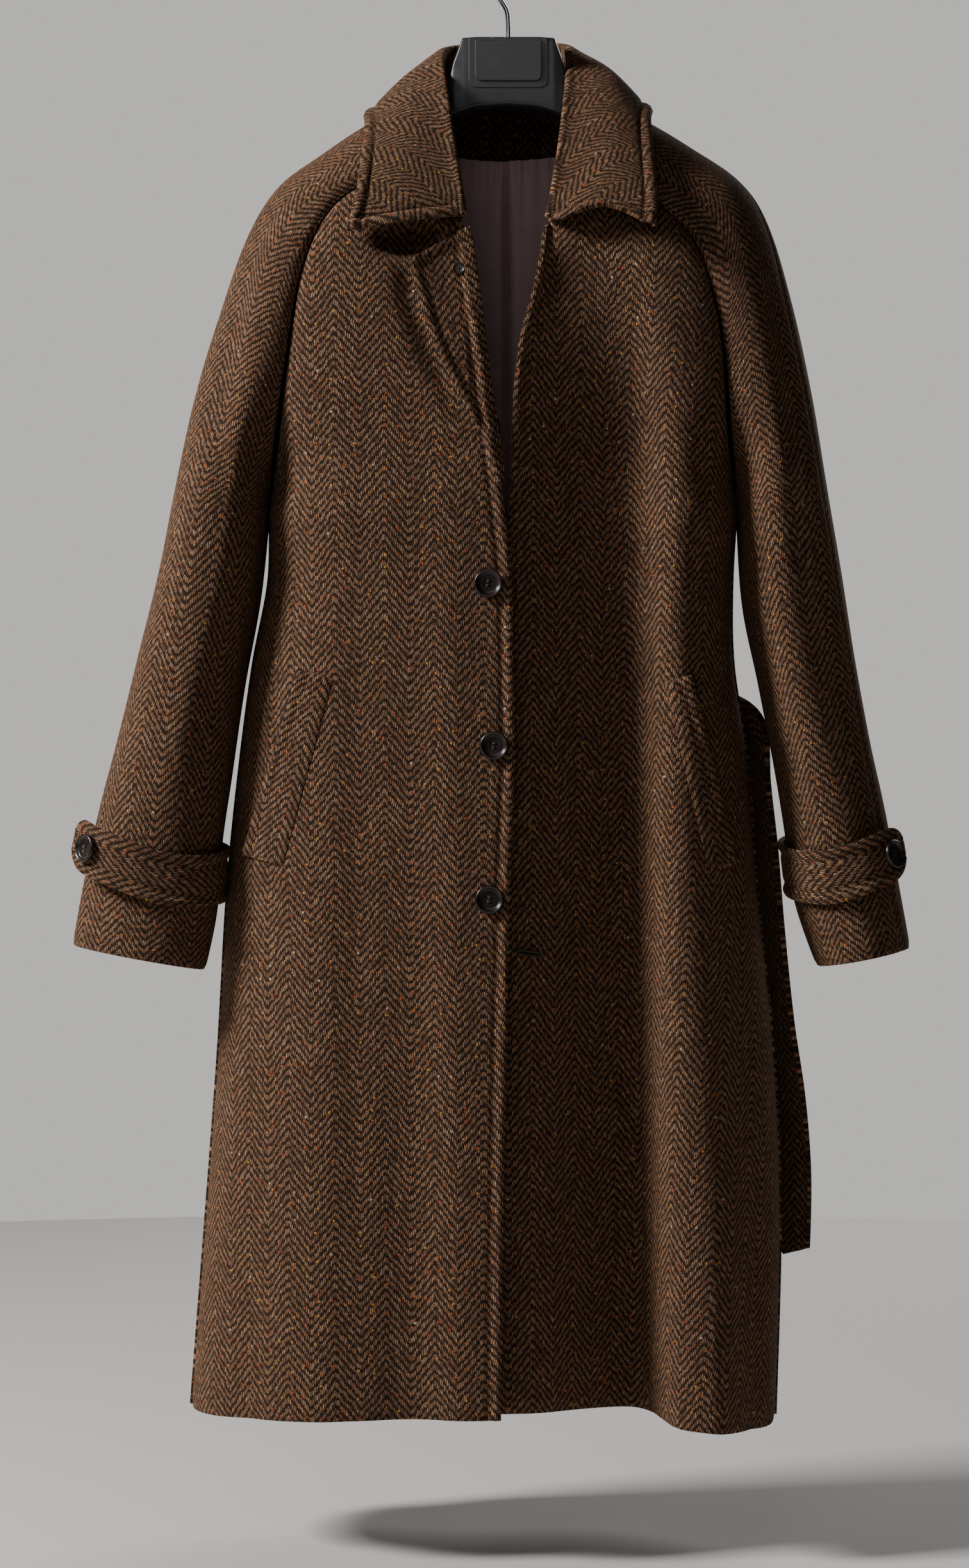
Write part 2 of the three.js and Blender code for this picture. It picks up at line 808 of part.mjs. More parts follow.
// The back at the belt's level, with the ways that lead up and out there.
function waist(t) {
  const level = beltCrossing.level + beltCrossing.sag * Math.sin(Math.PI * t);
  const place = backPoint(level, t);
  const up = place.clone().sub(backPoint(level + 0.1, t)).normalize();
  const across = backPoint(level, t + 0.01).sub(backPoint(level, t - 0.01)).normalize();
  return { place, up, out: up.clone().cross(across).normalize() };
}
function beltRoute() {
  const crossing = Array.from({ length: beltCrossing.rows }, (_, i) => {
    const t = mix(beltCrossing.from, beltCrossing.to, i / (beltCrossing.rows - 1));
    const { place, up, out } = waist(t);
    const { x, y, z } = place.addScaledVector(out, beltCrossing.clear);
    return { x, y, z, wideX: up.x, wideY: up.y, wideZ: up.z };
  });
  return [...beltStart, ...crossing, ...beltEnd];
}

// A belt point: place runs along its route, across from -1 to 1 over its width. The far
// end is cut to a point.
function beltPlace(route, place, across) {
  const row = along(route, place);
  const end = Math.max(place - (route.length - 2), 0);
  const wide = new THREE.Vector3(row.wideX, row.wideY, row.wideZ).setLength(beltWidth / 2);
  const spot = vector(row).addScaledVector(wide, across);
  spot.z += end ** 3 * beltPoint * Math.max(-across, 0.2 * across);
  return spot;
}

// A loop that holds the belt against the back, with a foot above it and one below.
const loop = { width: 10, cloth: 2.5, foot: 8, room: 3, reach: 9 };
const loopPlaces = { right: 0.155, left: 0.845 };
function loopShape() {
  const inside = beltWidth / 2 + loop.room;
  const outside = inside + loop.cloth;
  const corners = [
    [0, outside + loop.foot],
    [loop.cloth, outside + loop.foot],
    [loop.cloth, outside],
    [loop.reach + loop.cloth, outside],
    [loop.reach + loop.cloth, -outside],
    [loop.cloth, -outside],
    [loop.cloth, -outside - loop.foot],
    [0, -outside - loop.foot],
    [0, -inside],
    [loop.reach, -inside],
    [loop.reach, inside],
    [0, inside],
  ];
  return new THREE.Shape(corners.map(([x, y]) => new THREE.Vector2(x, y)));
}

// Hanger: sections of its body from the middle to one end, as heights, depths and the
// radius of their rounded corners.
const hangerSections = table(
  ["x", "top", "bottom", "front", "back", "corner"],
  [
    [0, -82, -143, -22, 22, 4],
    [28, -82, -145, -22, 22, 4],
    [40, -83, -148, -22, 22, 4],
    [47, -108, -151, -21, 21, 6],
    [54, -136, -156, -18, 20, 9],
    [66, -143.5, -163, -14, 22, 9],
    [90, -150, -176, -17, 26, 13],
    [118, -159, -189, -19, 28, 15],
    [150, -178.5, -208, -22, 27, 15],
    [180, -200.5, -226, -23, 22, 13],
    [200, -217, -238, -22, 18, 11],
    [209, -227, -240, -16, 12, 6],
  ],
);
function hangerRings() {
  const mirrored = hangerSections.map((row) => ({ ...row, x: -row.x })).reverse();
  return [...mirrored, ...hangerSections.slice(1)].map((row) => {
    const middle = (row.front + row.back) / 2;
    const centre = (row.top + row.bottom) / 2;
    const ring = [];
    for (let angle = 0; angle < 360; angle += 90) {
      const halfDeep = (row.back - row.front) / 2 - row.corner;
      const halfTall = (row.top - row.bottom) / 2 - row.corner;
      const [signY, signZ] = [angle < 90 || angle > 180 ? 1 : -1, angle < 180 ? 1 : -1];
      for (const turn of [angle, angle + 45, angle + 90]) {
        const y = middle + signY * halfDeep + row.corner * Math.cos(degrees(turn));
        const z = centre + signZ * halfTall + row.corner * Math.sin(degrees(turn));
        ring.push(new THREE.Vector3(row.x, y, z));
      }
    }
    return ring;
  });
}
const plate = { width: 59, height: 36, thickness: 1.5, corner: 5, top: -86 };

// A closed body through rings of points, capped flat at both ends.
function throughRings(rings) {
  const sides = rings[0].length;
  const positions = rings.flat().flatMap((spot) => spot.toArray());
  const index = [];
  for (let r = 0; r < rings.length - 1; r++) {
    for (let c = 0; c < sides; c++) {
      const [a, b] = [r * sides + c, r * sides + ((c + 1) % sides)];
      index.push(a, b, b + sides, a, b + sides, a + sides);
    }
  }
  const last = (rings.length - 1) * sides;
  for (let c = 1; c < sides - 1; c++) {
    index.push(0, c + 1, c, last, last + c, last + c + 1);
  }
  const geometry = new THREE.BufferGeometry();
  geometry.setAttribute("position", new THREE.Float32BufferAttribute(positions, 3));
  geometry.setIndex(index);
  geometry.computeVertexNormals();
  return geometry;
}

// The hook: a stem that leans aside and loops over the top to an open end.
const stemFoot = -81.5;
const loopCentre = -hookInnerRadius;
const wireRadius = hookWire / 2;
function hookPath() {
  const radius = hookInnerRadius + wireRadius;
  const stops = [
    [0, stemFoot],
    [0, -68],
    [-2, -54],
    [-12, -39],
  ];
  for (let angle = 205; angle >= -35; angle -= 24) {
    const turn = degrees(angle);
    stops.push([radius * Math.cos(turn), loopCentre + radius * Math.sin(turn)]);
  }
  return new THREE.CatmullRomCurve3(stops.map(([x, z]) => new THREE.Vector3(x, 0, z)));
}

// A button: a rimmed disc with its flat back at 0 and its face toward +Y of the lathe.
function buttonGeometry(diameter, thickness) {
  const radius = diameter / 2;
  const rim = radius * 0.2;
  const profile = [
    [0, 0],
    [radius * 0.8, 0],
    [radius, thickness * 0.35],
    [radius, thickness * 0.75],
    [radius - rim / 2, thickness],
    [radius - rim, thickness * 0.62],
    [0, thickness * 0.55],
  ].map(([x, y]) => new THREE.Vector2(x, y));
  return new THREE.LatheGeometry(profile, 14);
}

// Finishes
const finishes = {
  tweed: { color: 0x6b4a38, roughness: 0.95, metalness: 0 },
  lining: { color: 0x7a6260, roughness: 0.45, metalness: 0 },
  horn: { color: 0x1d1412, roughness: 0.3, metalness: 0 },
  hangerPlastic: { color: 0x151515, roughness: 0.4, metalness: 0 },
  chrome: { color: 0xd0d0d2, roughness: 0.15, metalness: 1 },
};
const coat = new THREE.Group();

function addPiece(name, geometry, finish) {
  const piece = new THREE.Mesh(geometry, new THREE.MeshStandardMaterial(finishes[finish]));
  piece.name = name;
  coat.add(piece);
  return piece;
}

// Sets a piece on a place, with its own +Y turned to the way it faces.
function setOn(piece, place, facing) {
  piece.position.copy(place);
  piece.quaternion.setFromUnitVectors(new THREE.Vector3(0, 1, 0), facing);
}

// Main cloth pieces
const bodyLevels = [...capLevels, ...skirtLevels];
const sleeveLevels = [...capLevels, ...armLevels];
const seamShare = (side, level) => -along(sleeves[side].crest, level).seam;
const nets = {
  right_front: net(bodyLevels, frontColumns, (v, t) => frontPoint("right", v, t), true),
  left_front: net(bodyLevels, frontColumns, (v, t) => frontPoint("left", v, t), false),
  back: net(bodyLevels, backColumns, backPoint, true),
};
for (const side of ["right", "left"]) {
  const turned = side === "right";
  nets[side + "_sleeve_front"] = net(
    sleeveLevels,
    sleeveColumns,
    (v, t) => sleevePoint(side, v, mix(-1, seamShare(side, v), t)),
    turned,
  );
  nets[side + "_sleeve_back"] = net(
    sleeveLevels,
    sleeveColumns,
    (v, t) => sleevePoint(side, v, mix(seamShare(side, v), 1, t)),
    turned,
  );
}
joinNormals(Object.values(nets));
for (const [name, cloth] of Object.entries(nets)) addPiece(name, wall(cloth, tweed), "tweed");

// Collar
const collarPlaces = Array.from({ length: collarSteps + 1 }, (_, i) =>
  mix(-collarLast, collarLast, i / collarSteps),
);
const collar = net(collarPlaces, collarColumns, collarPoint, false);
addPiece("collar", wall(collar, doubledTweed, doubledTweed / 2), "tweed");

// Turned lapel corner, pocket welts and neck facing, each laid on its panel
const lapelEdge = table(
  ["inner", "outer", "z"],
  [
    [-36, -40, -262],
    [-33, -84, -292],
    [-26, -78, -330],
    [-20, -61, -375],
    [-15, -42, -412],
    [-10, -24, -446],
    [-5, -10, -486],
  ],
);
const lapelTop = -261;
const lapelOutline = (s, t) => {
  const row = along(lapelEdge, mix(1, lapelEdge.length - 1, s));
  const top = Math.max(1 - 3 * s, 0);
  return [mix(row.inner, row.outer, t), row.z + top * (1 - t) * (lapelTop - lapelEdge[1].z)];
};
addPiece("right_lapel", patch(nets.right_front, lapelOutline, 9, 3, () => tweed), "tweed");
const weltCorners = {
  right: [[-152, -654], [-181, -648], [-197, -820], [-230, -810]],
  left: [[135, -658], [157, -652], [174, -827], [196, -817]],
};
const weltEdge = 4;
const weltSeam = 1.4;
for (const side of ["right", "left"]) {
  const outline = insideCorners(weltCorners[side]);
  const thickness = (t) => mix(weltSeam, weltEdge, t);
  const welt = patch(nets[side + "_front"], outline, 13, 4, thickness);
  addPiece(side + "_pocket_welt", welt, "tweed");
}
const facing = { top: -131, topHalf: 44, footHalf: 62, cloth: 2 };
const facingFoot = facing.top - facingDepth;
const facingOutline = insideCorners([
  [-facing.topHalf, facing.top],
  [facing.topHalf, facing.top],
  [-facing.footHalf, facingFoot],
  [facing.footHalf, facingFoot],
]);
const neckFacing = patch(nets.back, facingOutline, 3, 8, () => facing.cloth, -1);
addPiece("back_neck_facing", neckFacing, "tweed");

// Lining
const liningLevels = Array.from({ length: liningShape.rows + 1 }, (_, i) =>
  mix(liningShape.top, liningShape.foot, i / liningShape.rows),
);
const lining = net(liningLevels, liningShape.columns, liningPoint, true);
addPiece("back_lining", wall(lining, liningCloth), "lining");

// Cuff straps and their buttons
const cuffButtons = { right: -0.235, left: -0.27 };
for (const side of ["right", "left"]) {
  const strap = strapNet(side);
  addPiece(side + "_cuff_strap", wall(strap, doubledTweed, doubledTweed), "tweed");
  const misses = strap.rounds.map((round) => Math.abs(round - cuffButtons[side]));
  const row = misses.indexOf(Math.min(...misses));
  const facing = strap.normals[row][1].clone().add(strap.normals[row][2]).normalize();
  const seat = strap.rows[row][1].clone().lerp(strap.rows[row][2], 0.5);
  seat.addScaledVector(facing, doubledTweed + seatGap);
  const button = buttonGeometry(buttonDiameter, buttonThickness);
  setOn(addPiece(side + "_cuff_button", button, "horn"), seat, facing);
}

// Front buttons, sewn on the right front
const frontButtons = table(["x", "z"], [
  [-18, -573],
  [-13, -714],
  [-17, -847],
]);
frontButtons.forEach(({ x, z }, i) => {
  const at = findOnNet(nets.right_front, x, z);
  const { place, normal } = onNet(nets.right_front, at.u, at.v);
  const name = "front_button_" + (i + 3);
  const button = addPiece(name, buttonGeometry(buttonDiameter, buttonThickness), "horn");
  setOn(button, place.addScaledVector(normal, seatGap), normal);
});

// A small button on the turned lapel backs a button behind it, and a full-size button
// is seen edge-on where the front's edge rolls.
const backing = { diameter: 11, thickness: 3, x: -42, z: -299 };
const edgeOn = { place: { x: -12.2, y: -99, z: -441 }, facing: { x: 0.99, y: 0, z: 0.14 } };
const backingAt = findOnNet(nets.right_front, backing.x, backing.z);
const backingSeat = onNet(nets.right_front, backingAt.u, backingAt.v);
setOn(
  addPiece("front_button_1", buttonGeometry(backing.diameter, backing.thickness), "horn"),
  backingSeat.place.addScaledVector(backingSeat.normal, tweed + 3 * seatGap),
  backingSeat.normal,
);
setOn(
  addPiece("front_button_2", buttonGeometry(buttonDiameter, buttonThickness), "horn"),
  vector(edgeOn.place),
  vector(edgeOn.facing).normalize(),
);

// Belt and its loops
const route = beltRoute();
const beltPlaces = Array.from({ length: beltSteps + 1 }, (_, i) =>
  mix(0, route.length - 1, i / beltSteps),
);
const belt = net(beltPlaces, 2, (place, t) => beltPlace(route, place, 2 * t - 1), false);
addPiece("belt", wall(belt, doubledTweed, doubledTweed / 2), "tweed");
for (const [side, t] of Object.entries(loopPlaces)) {
  const { place, up, out } = waist(t);
  const strip = { depth: loop.width, bevelEnabled: false };
  const geometry = new THREE.ExtrudeGeometry(loopShape(), strip);
  geometry.translate(0, 0, -loop.width / 2);
  const piece = addPiece(side + "_belt_loop", geometry, "tweed");
  const turn = new THREE.Matrix4().makeBasis(out, up, out.clone().cross(up));
  piece.quaternion.setFromRotationMatrix(turn);
  piece.position.copy(place.addScaledVector(out, seatGap));
}

// Hanger
addPiece("hanger_body", throughRings(hangerRings()), "hangerPlastic");
const plateShape = new THREE.Shape();
plateShape.moveTo(-plate.width / 2, 0);
plateShape.lineTo(-plate.width / 2, plate.corner - plate.height);
plateShape.lineTo(plate.corner - plate.width / 2, -plate.height);
plateShape.lineTo(plate.width / 2 - plate.corner, -plate.height);
plateShape.lineTo(plate.width / 2, plate.corner - plate.height);
plateShape.lineTo(plate.width / 2, 0);
plateShape.closePath();
const plateDepth = { depth: plate.thickness, bevelEnabled: false };
const plateGeometry = new THREE.ExtrudeGeometry(plateShape, plateDepth);
plateGeometry.rotateX(Math.PI / 2);
const platePiece = addPiece("hanger_plate", plateGeometry, "hangerPlastic");
platePiece.position.set(0, hangerSections[0].front - seatGap, plate.top);

// Hook
const wire = new THREE.Shape();
wire.absarc(0, 0, wireRadius, 0, 2 * Math.PI);
const hook = new THREE.ExtrudeGeometry(wire, {
  steps: 44,
  curveSegments: 4,
  bevelEnabled: false,
  extrudePath: hookPath(),
});
addPiece("hanger_hook", hook, "chrome");

export default coat;
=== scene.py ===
# A balmacaan coat of brown herringbone tweed, hung open on a black moulded hanger.
import math

import bpy
import numpy as np
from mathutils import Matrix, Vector


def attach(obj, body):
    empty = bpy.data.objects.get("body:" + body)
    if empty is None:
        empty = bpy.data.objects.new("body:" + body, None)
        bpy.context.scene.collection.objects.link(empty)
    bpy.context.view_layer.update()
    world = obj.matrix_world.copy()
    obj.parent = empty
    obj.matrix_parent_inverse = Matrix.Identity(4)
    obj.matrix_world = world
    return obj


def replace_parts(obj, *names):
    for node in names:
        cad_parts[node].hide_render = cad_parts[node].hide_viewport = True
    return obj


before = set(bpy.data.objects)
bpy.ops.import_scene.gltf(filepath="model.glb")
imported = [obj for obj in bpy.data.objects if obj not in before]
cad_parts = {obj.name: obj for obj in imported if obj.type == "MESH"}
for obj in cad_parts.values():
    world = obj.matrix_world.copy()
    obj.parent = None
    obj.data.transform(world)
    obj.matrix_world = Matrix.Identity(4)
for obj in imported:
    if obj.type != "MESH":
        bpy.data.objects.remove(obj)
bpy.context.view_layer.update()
mm = 0.001

# Cloth sizes in millimetres
tweedThickness = 3.0
doubledThickness = 5.0
liningThickness = 1.0
beltWidth = 50.0
strapWidth = 47.0
hookWire = 4.0
hookRadius = 20.0


# A smooth curve through rows of numbers, read at places between 0 and the last row.
def along(rows, place):
    rows = np.asarray(rows, float)
    last = len(rows) - 1
    place = np.clip(np.asarray(place, float), 0, last)
    i = np.minimum(np.floor(place).astype(int), last - 1)
    f = (place - i)[..., None]
    a, b, c, d = (rows[np.clip(i + k, 0, last)] for k in (-1, 0, 1, 2))
    bend = 2 * a - 5 * b + 4 * c - d
    twist = 3 * b - a - 3 * c + d
    return b + 0.5 * f * (c - a + f * (bend + f * twist))


def mix(a, b, t):
    return a + (b - a) * t


# A bell of height 1 over a distance.
def bell(distance, width):
    return np.exp(-((distance / width) ** 2))


# A smooth step from 0 at low to 1 at high.
def step(low, high, value):
    t = np.clip((value - low) / (high - low), 0, 1)
    return t * t * (3 - 2 * t)


def unit(vectors):
    return vectors / np.maximum(np.linalg.norm(vectors, axis=-1, keepdims=True), 1e-9)


# Cut of the body. Rows run down by levels: 0 is the neck, 7 the underarm, 14 the hem.
# Each row is x, y and z. The seams stand for both pieces that meet there.
underarmLevel = 7
hemLevel = 14
frontEdge = {
    "right": [
        [-40, -92, -256], [-34, -96, -285], [-30, -99, -318], [-25, -102, -352],
        [-20, -104, -386], [-16, -106, -420], [-11, -108, -455], [-5, -110, -500],
        [2, -112, -565], [4, -113, -640], [5, -115, -730], [1, -120, -840],
        [-2, -129, -980], [-5, -139, -1130], [-7, -150, -1293],
    ],
    "left": [
        [30, -88, -262], [26, -100, -289], [19, -106, -322], [10, -110, -356],
        [5, -110, -390], [3, -107, -424], [2, -103, -458], [1, -102, -500],
        [-6, -104, -565], [-12, -105, -640], [-16, -107, -730], [-22, -112, -840],
        [-24, -121, -980], [-26, -131, -1130], [-28, -141, -1290],
    ],
}
raglanFront = {
    "right": [
        [-60, -52, -188], [-103, -66, -207], [-145, -73, -231], [-168, -80, -262],
        [-183, -84, -305], [-192, -84, -360], [-201, -74, -425], [-212, -12, -500],
    ],
    "left": [
        [60, -52, -188], [100, -66, -209], [136, -73, -241], [163, -80, -272],
        [179, -84, -318], [188, -84, -366], [193, -74, -428], [203, -12, -500],
    ],
}
raglanBack = {
    "right": [
        [-50, 48, -128], [-92, 58, -166], [-132, 68, -204], [-160, 76, -252],
        [-178, 82, -308], [-190, 82, -368], [-203, 66, -434], [-212, -12, -500],
    ],
    "left": [
        [50, 48, -128], [92, 58, -164], [132, 68, -202], [160, 76, -250],
        [178, 82, -308], [188, 82, -368], [196, 66, -434], [203, -12, -500],
    ],
}
sideSeam = {
    "right": [
        [-212, -12, -500], [-213, -6, -565], [-227, -4, -640], [-239, -3, -730],
        [-250, -3, -840], [-258, -4, -980], [-269, -6, -1130], [-282, -8, -1300],
    ],
    "left": [
        [203, -12, -500], [199, -8, -565], [200, -8, -640], [213, -8, -730],
        [221, -10, -840], [235, -14, -980], [241, -20, -1130], [236, -28, -1306],
    ],
}
centreBack = [
    [0, 66, -124], [0, 78, -172], [0, 87, -225], [0, 92, -280], [0, 95, -335],
    [0, 97, -390], [0, 99, -445], [-1, 101, -500], [-2, 103, -565], [-4, 106, -640],
    [-6, 110, -730], [-9, 117, -840], [-13, 126, -980], [-17, 135, -1130],
    [-22, 144, -1302],
]
# How a front turns back at its edge and its seam, in degrees, each with its reach
frontShape = [
    [40, 14, 70, 14], [22, 24, 30, 28], [14, 38, 24, 38], [8, 50, 28, 44],
    [5, 60, 34, 46], [3, 70, 44, 38], [2, 84, 66, 42], [0, 106, 90, 122],
    [0, 110, 90, 122], [0, 112, 90, 121], [0, 114, 90, 120], [0, 118, 90, 119],
    [0, 124, 90, 119], [0, 132, 90, 120], [0, 140, 90, 122],
]
# The reach at the centre of the back, then the turn and the reach at its seam
backShape = [
    [22, 40, 16], [40, 20, 30], [56, 22, 40], [66, 28, 46], [72, 34, 48],
    [78, 44, 38], [88, 66, 42], [106, 90, 138], [108, 90, 136], [110, 90, 134],
    [114, 90, 133], [120, 90, 132], [128, 90, 132], [136, 90, 133], [144, 90, 134],
]
# Upright folds: x and z of the top, x and z of the foot, height at the foot, and the
# widths toward the middle and toward the side
folds = {
    "right": [
        [-92, -330, -78, -1293, -11, 34, 44], [-150, -420, -168, -1293, 9, 40, 38],
        [-60, -560, -36, -1293, 5, 22, 26], [-210, -800, -232, -1293, -8, 24, 26],
        [-122, -280, -132, -700, -4, 16, 18], [-46, -300, -50, -620, 3, 18, 18],
        [-118, -760, -124, -1293, 4, 14, 20], [-196, -660, -206, -1293, 4, 16, 16],
    ],
    "left": [
        [98, -230, 106, -430, -34, 78, 26], [108, -430, 122, -1293, -40, 90, 13],
        [172, -560, 196, -1293, 42, 38, 28], [150, -330, 150, -700, 6, 26, 30],
        [208, -700, 226, -1293, -6, 12, 14],
        [30, -420, 28, -1293, 3, 18, 18], [100, -300, 108, -640, -4, 16, 18],
        [176, -900, 184, -1306, 6, 14, 16], [-4, -700, -6, -1293, -3, 14, 16],
    ],
    "back": [
        [-60, -420, -92, -1302, 14, 36, 44], [84, -500, 116, -1302, 16, 40, 36],
        [-150, -600, -196, -1302, -12, 30, 28], [10, -560, 6, -1302, -12, 40, 40],
        [170, -700, 190, -1302, -8, 24, 24], [-30, -300, -34, -700, 4, 20, 22],
        [44, -260, 50, -640, -4, 20, 20], [-118, -760, -140, -1302, 5, 16, 18],
    ],
}


# How far out the folds push places given by x and z.
def foldLift(rows, x, z):
    lift = np.zeros_like(x)
    for topX, topZ, footX, footZ, height, widthIn, widthOut in rows:
        down = np.clip((topZ - z) / (topZ - footZ), 0, 1)
        across = x - mix(topX, footX, down)
        width = np.where(across * np.sign(footX) > 0, widthOut, widthIn)
        lift += height * down**1.4 * bell(across, width)
    return lift


# A cubic curve between two ends that leaves each of them in a given direction.
def curved(start, startPull, end, endPull, t):
    t = t[..., None]
    s = 1 - t
    atStart = s**3 + 3 * s * s * t
    atEnd = t**3 + 3 * s * t * t
    return start * atStart + startPull * 3 * s * s * t + endPull * 3 * s * t * t + end * atEnd


# The seam of a side at levels: the raglan seam above the underarm, the side seam below.
def seamPoint(raglan, side, level):
    above = along(raglan[side], level)
    below = along(sideSeam[side], level - underarmLevel)
    return np.where((level <= underarmLevel)[..., None], above, below)


def direction(x, y):
    return np.stack([x, y, np.zeros_like(x)], -1)


# A front at levels and shares of the way from its edge to its seam.
def frontPoint(side, level, t):
    outward = -1 if side == "right" else 1
    edgeTurn, edgeReach, seamTurn, seamReach = np.moveaxis(along(frontShape, level), -1, 0)
    turn, back = np.radians(edgeTurn), np.radians(seamTurn)
    edgePull = direction(outward * np.cos(turn) * edgeReach, np.sin(turn) * edgeReach)
    seamPull = direction(-outward * np.cos(back) * seamReach, -np.sin(back) * seamReach)
    edge = along(frontEdge[side], level)
    place = curved(edge, edgePull, seamPoint(raglanFront, side, level), seamPull, t)
    fade = np.minimum(np.sin(np.pi * np.minimum(t * 1.2 + 0.12, 1)) ** 0.7, 1)
    lift = foldLift(folds[side], place[..., 0], place[..., 2])
    place[..., 1] -= lift * fade * (1 - t**8)
    if side == "left":
        foot = np.maximum(level - (hemLevel - 1), 0)
        drop = 5 * foot / (1 + np.exp((134 - place[..., 0]) / 4))
        place[..., 2] -= drop * (1 - t**12)
    return place


# The back at levels and shares of the way from the right seam to the left one.
def backPoint(level, t):
    centreReach, seamTurn, seamReach = np.moveaxis(along(backShape, level), -1, 0)
    right = t < 0.5
    outward = np.where(right, -1.0, 1.0)
    turn = np.radians(seamTurn)
    seam = np.where(
        right[..., None],
        seamPoint(raglanBack, "right", level),
        seamPoint(raglanBack, "left", level),
    )
    centrePull = direction(outward * centreReach, 0 * outward)
    seamPull = direction(-outward * np.cos(turn) * seamReach, np.sin(turn) * seamReach)
    away = np.abs(2 * t - 1)
    place = curved(along(centreBack, level), centrePull, seam, seamPull, away)
    place[..., 1] += foldLift(folds["back"], place[..., 0], place[..., 2]) * (1 - away**6)
    return place


# Sleeves: 0 is the neck, 7 the underarm, 13 the cuff. Each row is the crest's x, y and
# z, half the depth, half the angle of the section, and the overarm seam's place.
cuffLevel = 13
crest = {
    "right": [
        [-68, 2, -134, 50, 85, 0], [-118, 2, -152, 64, 88, 0],
        [-168, 2, -185, 72, 90, 0], [-206, 1, -215, 80, 92, 0],
        [-233, 0, -260, 86, 100, 0], [-257, -2, -328, 90, 110, 0.02],
        [-279, -4, -404, 95, 128, 0.04], [-297, -6, -488, 97, 180, 0.05],
        [-311, -8, -558, 90, 180, 0.05], [-330, -12, -634, 80, 180, 0.05],
        [-349, -18, -712, 70, 180, 0.05], [-363, -26, -768, 62, 180, 0.05],
        [-375, -32, -826, 54, 180, 0.05], [-386, -38, -889, 48, 180, 0.05],
    ],
    "left": [
        [68, 2, -134, 50, 85, 0], [118, 2, -151, 64, 88, 0],
        [165, 2, -178, 72, 90, 0.02], [208, 1, -209, 80, 92, 0.08],
        [233, 0, -250, 86, 100, 0.2], [254, -2, -322, 90, 110, 0.28],
        [271, -4, -402, 95, 128, 0.28], [284, -6, -484, 95, 180, 0.22],
        [297, -9, -561, 86, 180, 0.22], [308, -13, -634, 80, 180, 0.22],
        [321, -19, -708, 76, 180, 0.22], [333, -27, -766, 72, 180, 0.22],
        [344, -33, -827, 68, 180, 0.22], [355, -39, -891, 64, 180, 0.22],
    ],
}
underarm = {
    "right": [
        [-212, -12, -500], [-220, -15, -580], [-234, -20, -660], [-245, -28, -740],
        [-253, -36, -800], [-257, -42, -860], [-267, -46, -911],
    ],
    "left": [
        [203, -12, -500], [208, -14, -585], [222, -19, -657], [236, -25, -732],
        [245, -33, -791], [253, -39, -851], [272, -45, -908],
    ],
}
# Folds of a sleeve: places round it at the top and foot, levels, height and width
sleeveFolds = {
    "right": [
        [-0.42, -0.62, 3, 10, -6, 0.12], [-0.2, -0.34, 5, 12, 5, 0.12],
        [0.4, 0.56, 3, 10, -6, 0.12], [-0.66, -0.5, 6, 11, 3, 0.08],
    ],
    "left": [
        [-0.5, -0.42, 4, 11, -6, 0.1], [-0.72, -0.62, 6, 12, 5, 0.1],
        [0.4, 0.52, 3, 10, -6, 0.12], [-0.3, -0.2, 5, 11, 3, 0.08],
    ],
}


# A sleeve at levels and places round it: -1 the front seam, 0 the crest, 1 the back.
def sleevePoint(side, level, roundAt):
    row = along(crest[side], level)
    top, depth = row[..., :3], row[..., 3]
    span = np.radians(np.minimum(row[..., 4], 180))
    closed = (level > underarmLevel)[..., None]
    seam = along(underarm[side], level - underarmLevel)
    front = np.where(closed, seam, along(raglanFront[side], level))
    back = np.where(closed, seam, along(raglanBack[side], level))
    cosine = np.cos(span)[..., None]
    centre = ((front + back) / 2 - top * cosine) / (1 - cosine)
    rise = top - centre

    def section(angle):
        place = centre + rise * np.cos(angle)[..., None]
        place[..., 1] += depth * np.sin(angle)
        return place

    r = roundAt[..., None]
    place = section(roundAt * span)
    out = unit(place - centre)
    place = place + (front - section(-span)) * r * (r - 1) / 2
    place = place + (back - section(span)) * r * (r + 1) / 2
    fade = np.maximum(1 - np.abs(roundAt) ** 6, 0)
    for roundTop, roundFoot, first, last, height, width in sleeveFolds[side]:
        down = (level - first) / (last - first)
        inside = (down > 0) & (down < 1)
        lift = height * np.sin(np.pi * np.clip(down, 0, 1)) * inside
        lift = lift * bell(roundAt - mix(roundTop, roundFoot, down), width)
        place = place + out * (lift * fade)[..., None]
    return place


# Normals of a net of points, on the side given by a sign.
def normalsOf(points, sign):
    down, across = np.gradient(points, axis=0), np.gradient(points, axis=1)
    return unit(np.cross(down, across)) * sign


# Running length along the rows, or down the columns with axis 0.
def runningLength(points, axis=1):
    steps = np.linalg.norm(np.diff(points, axis=axis), axis=-1)
    start = np.zeros_like(np.take(steps, [0], axis=axis))
    return np.concatenate([start, np.cumsum(steps, axis=axis)], axis=axis)


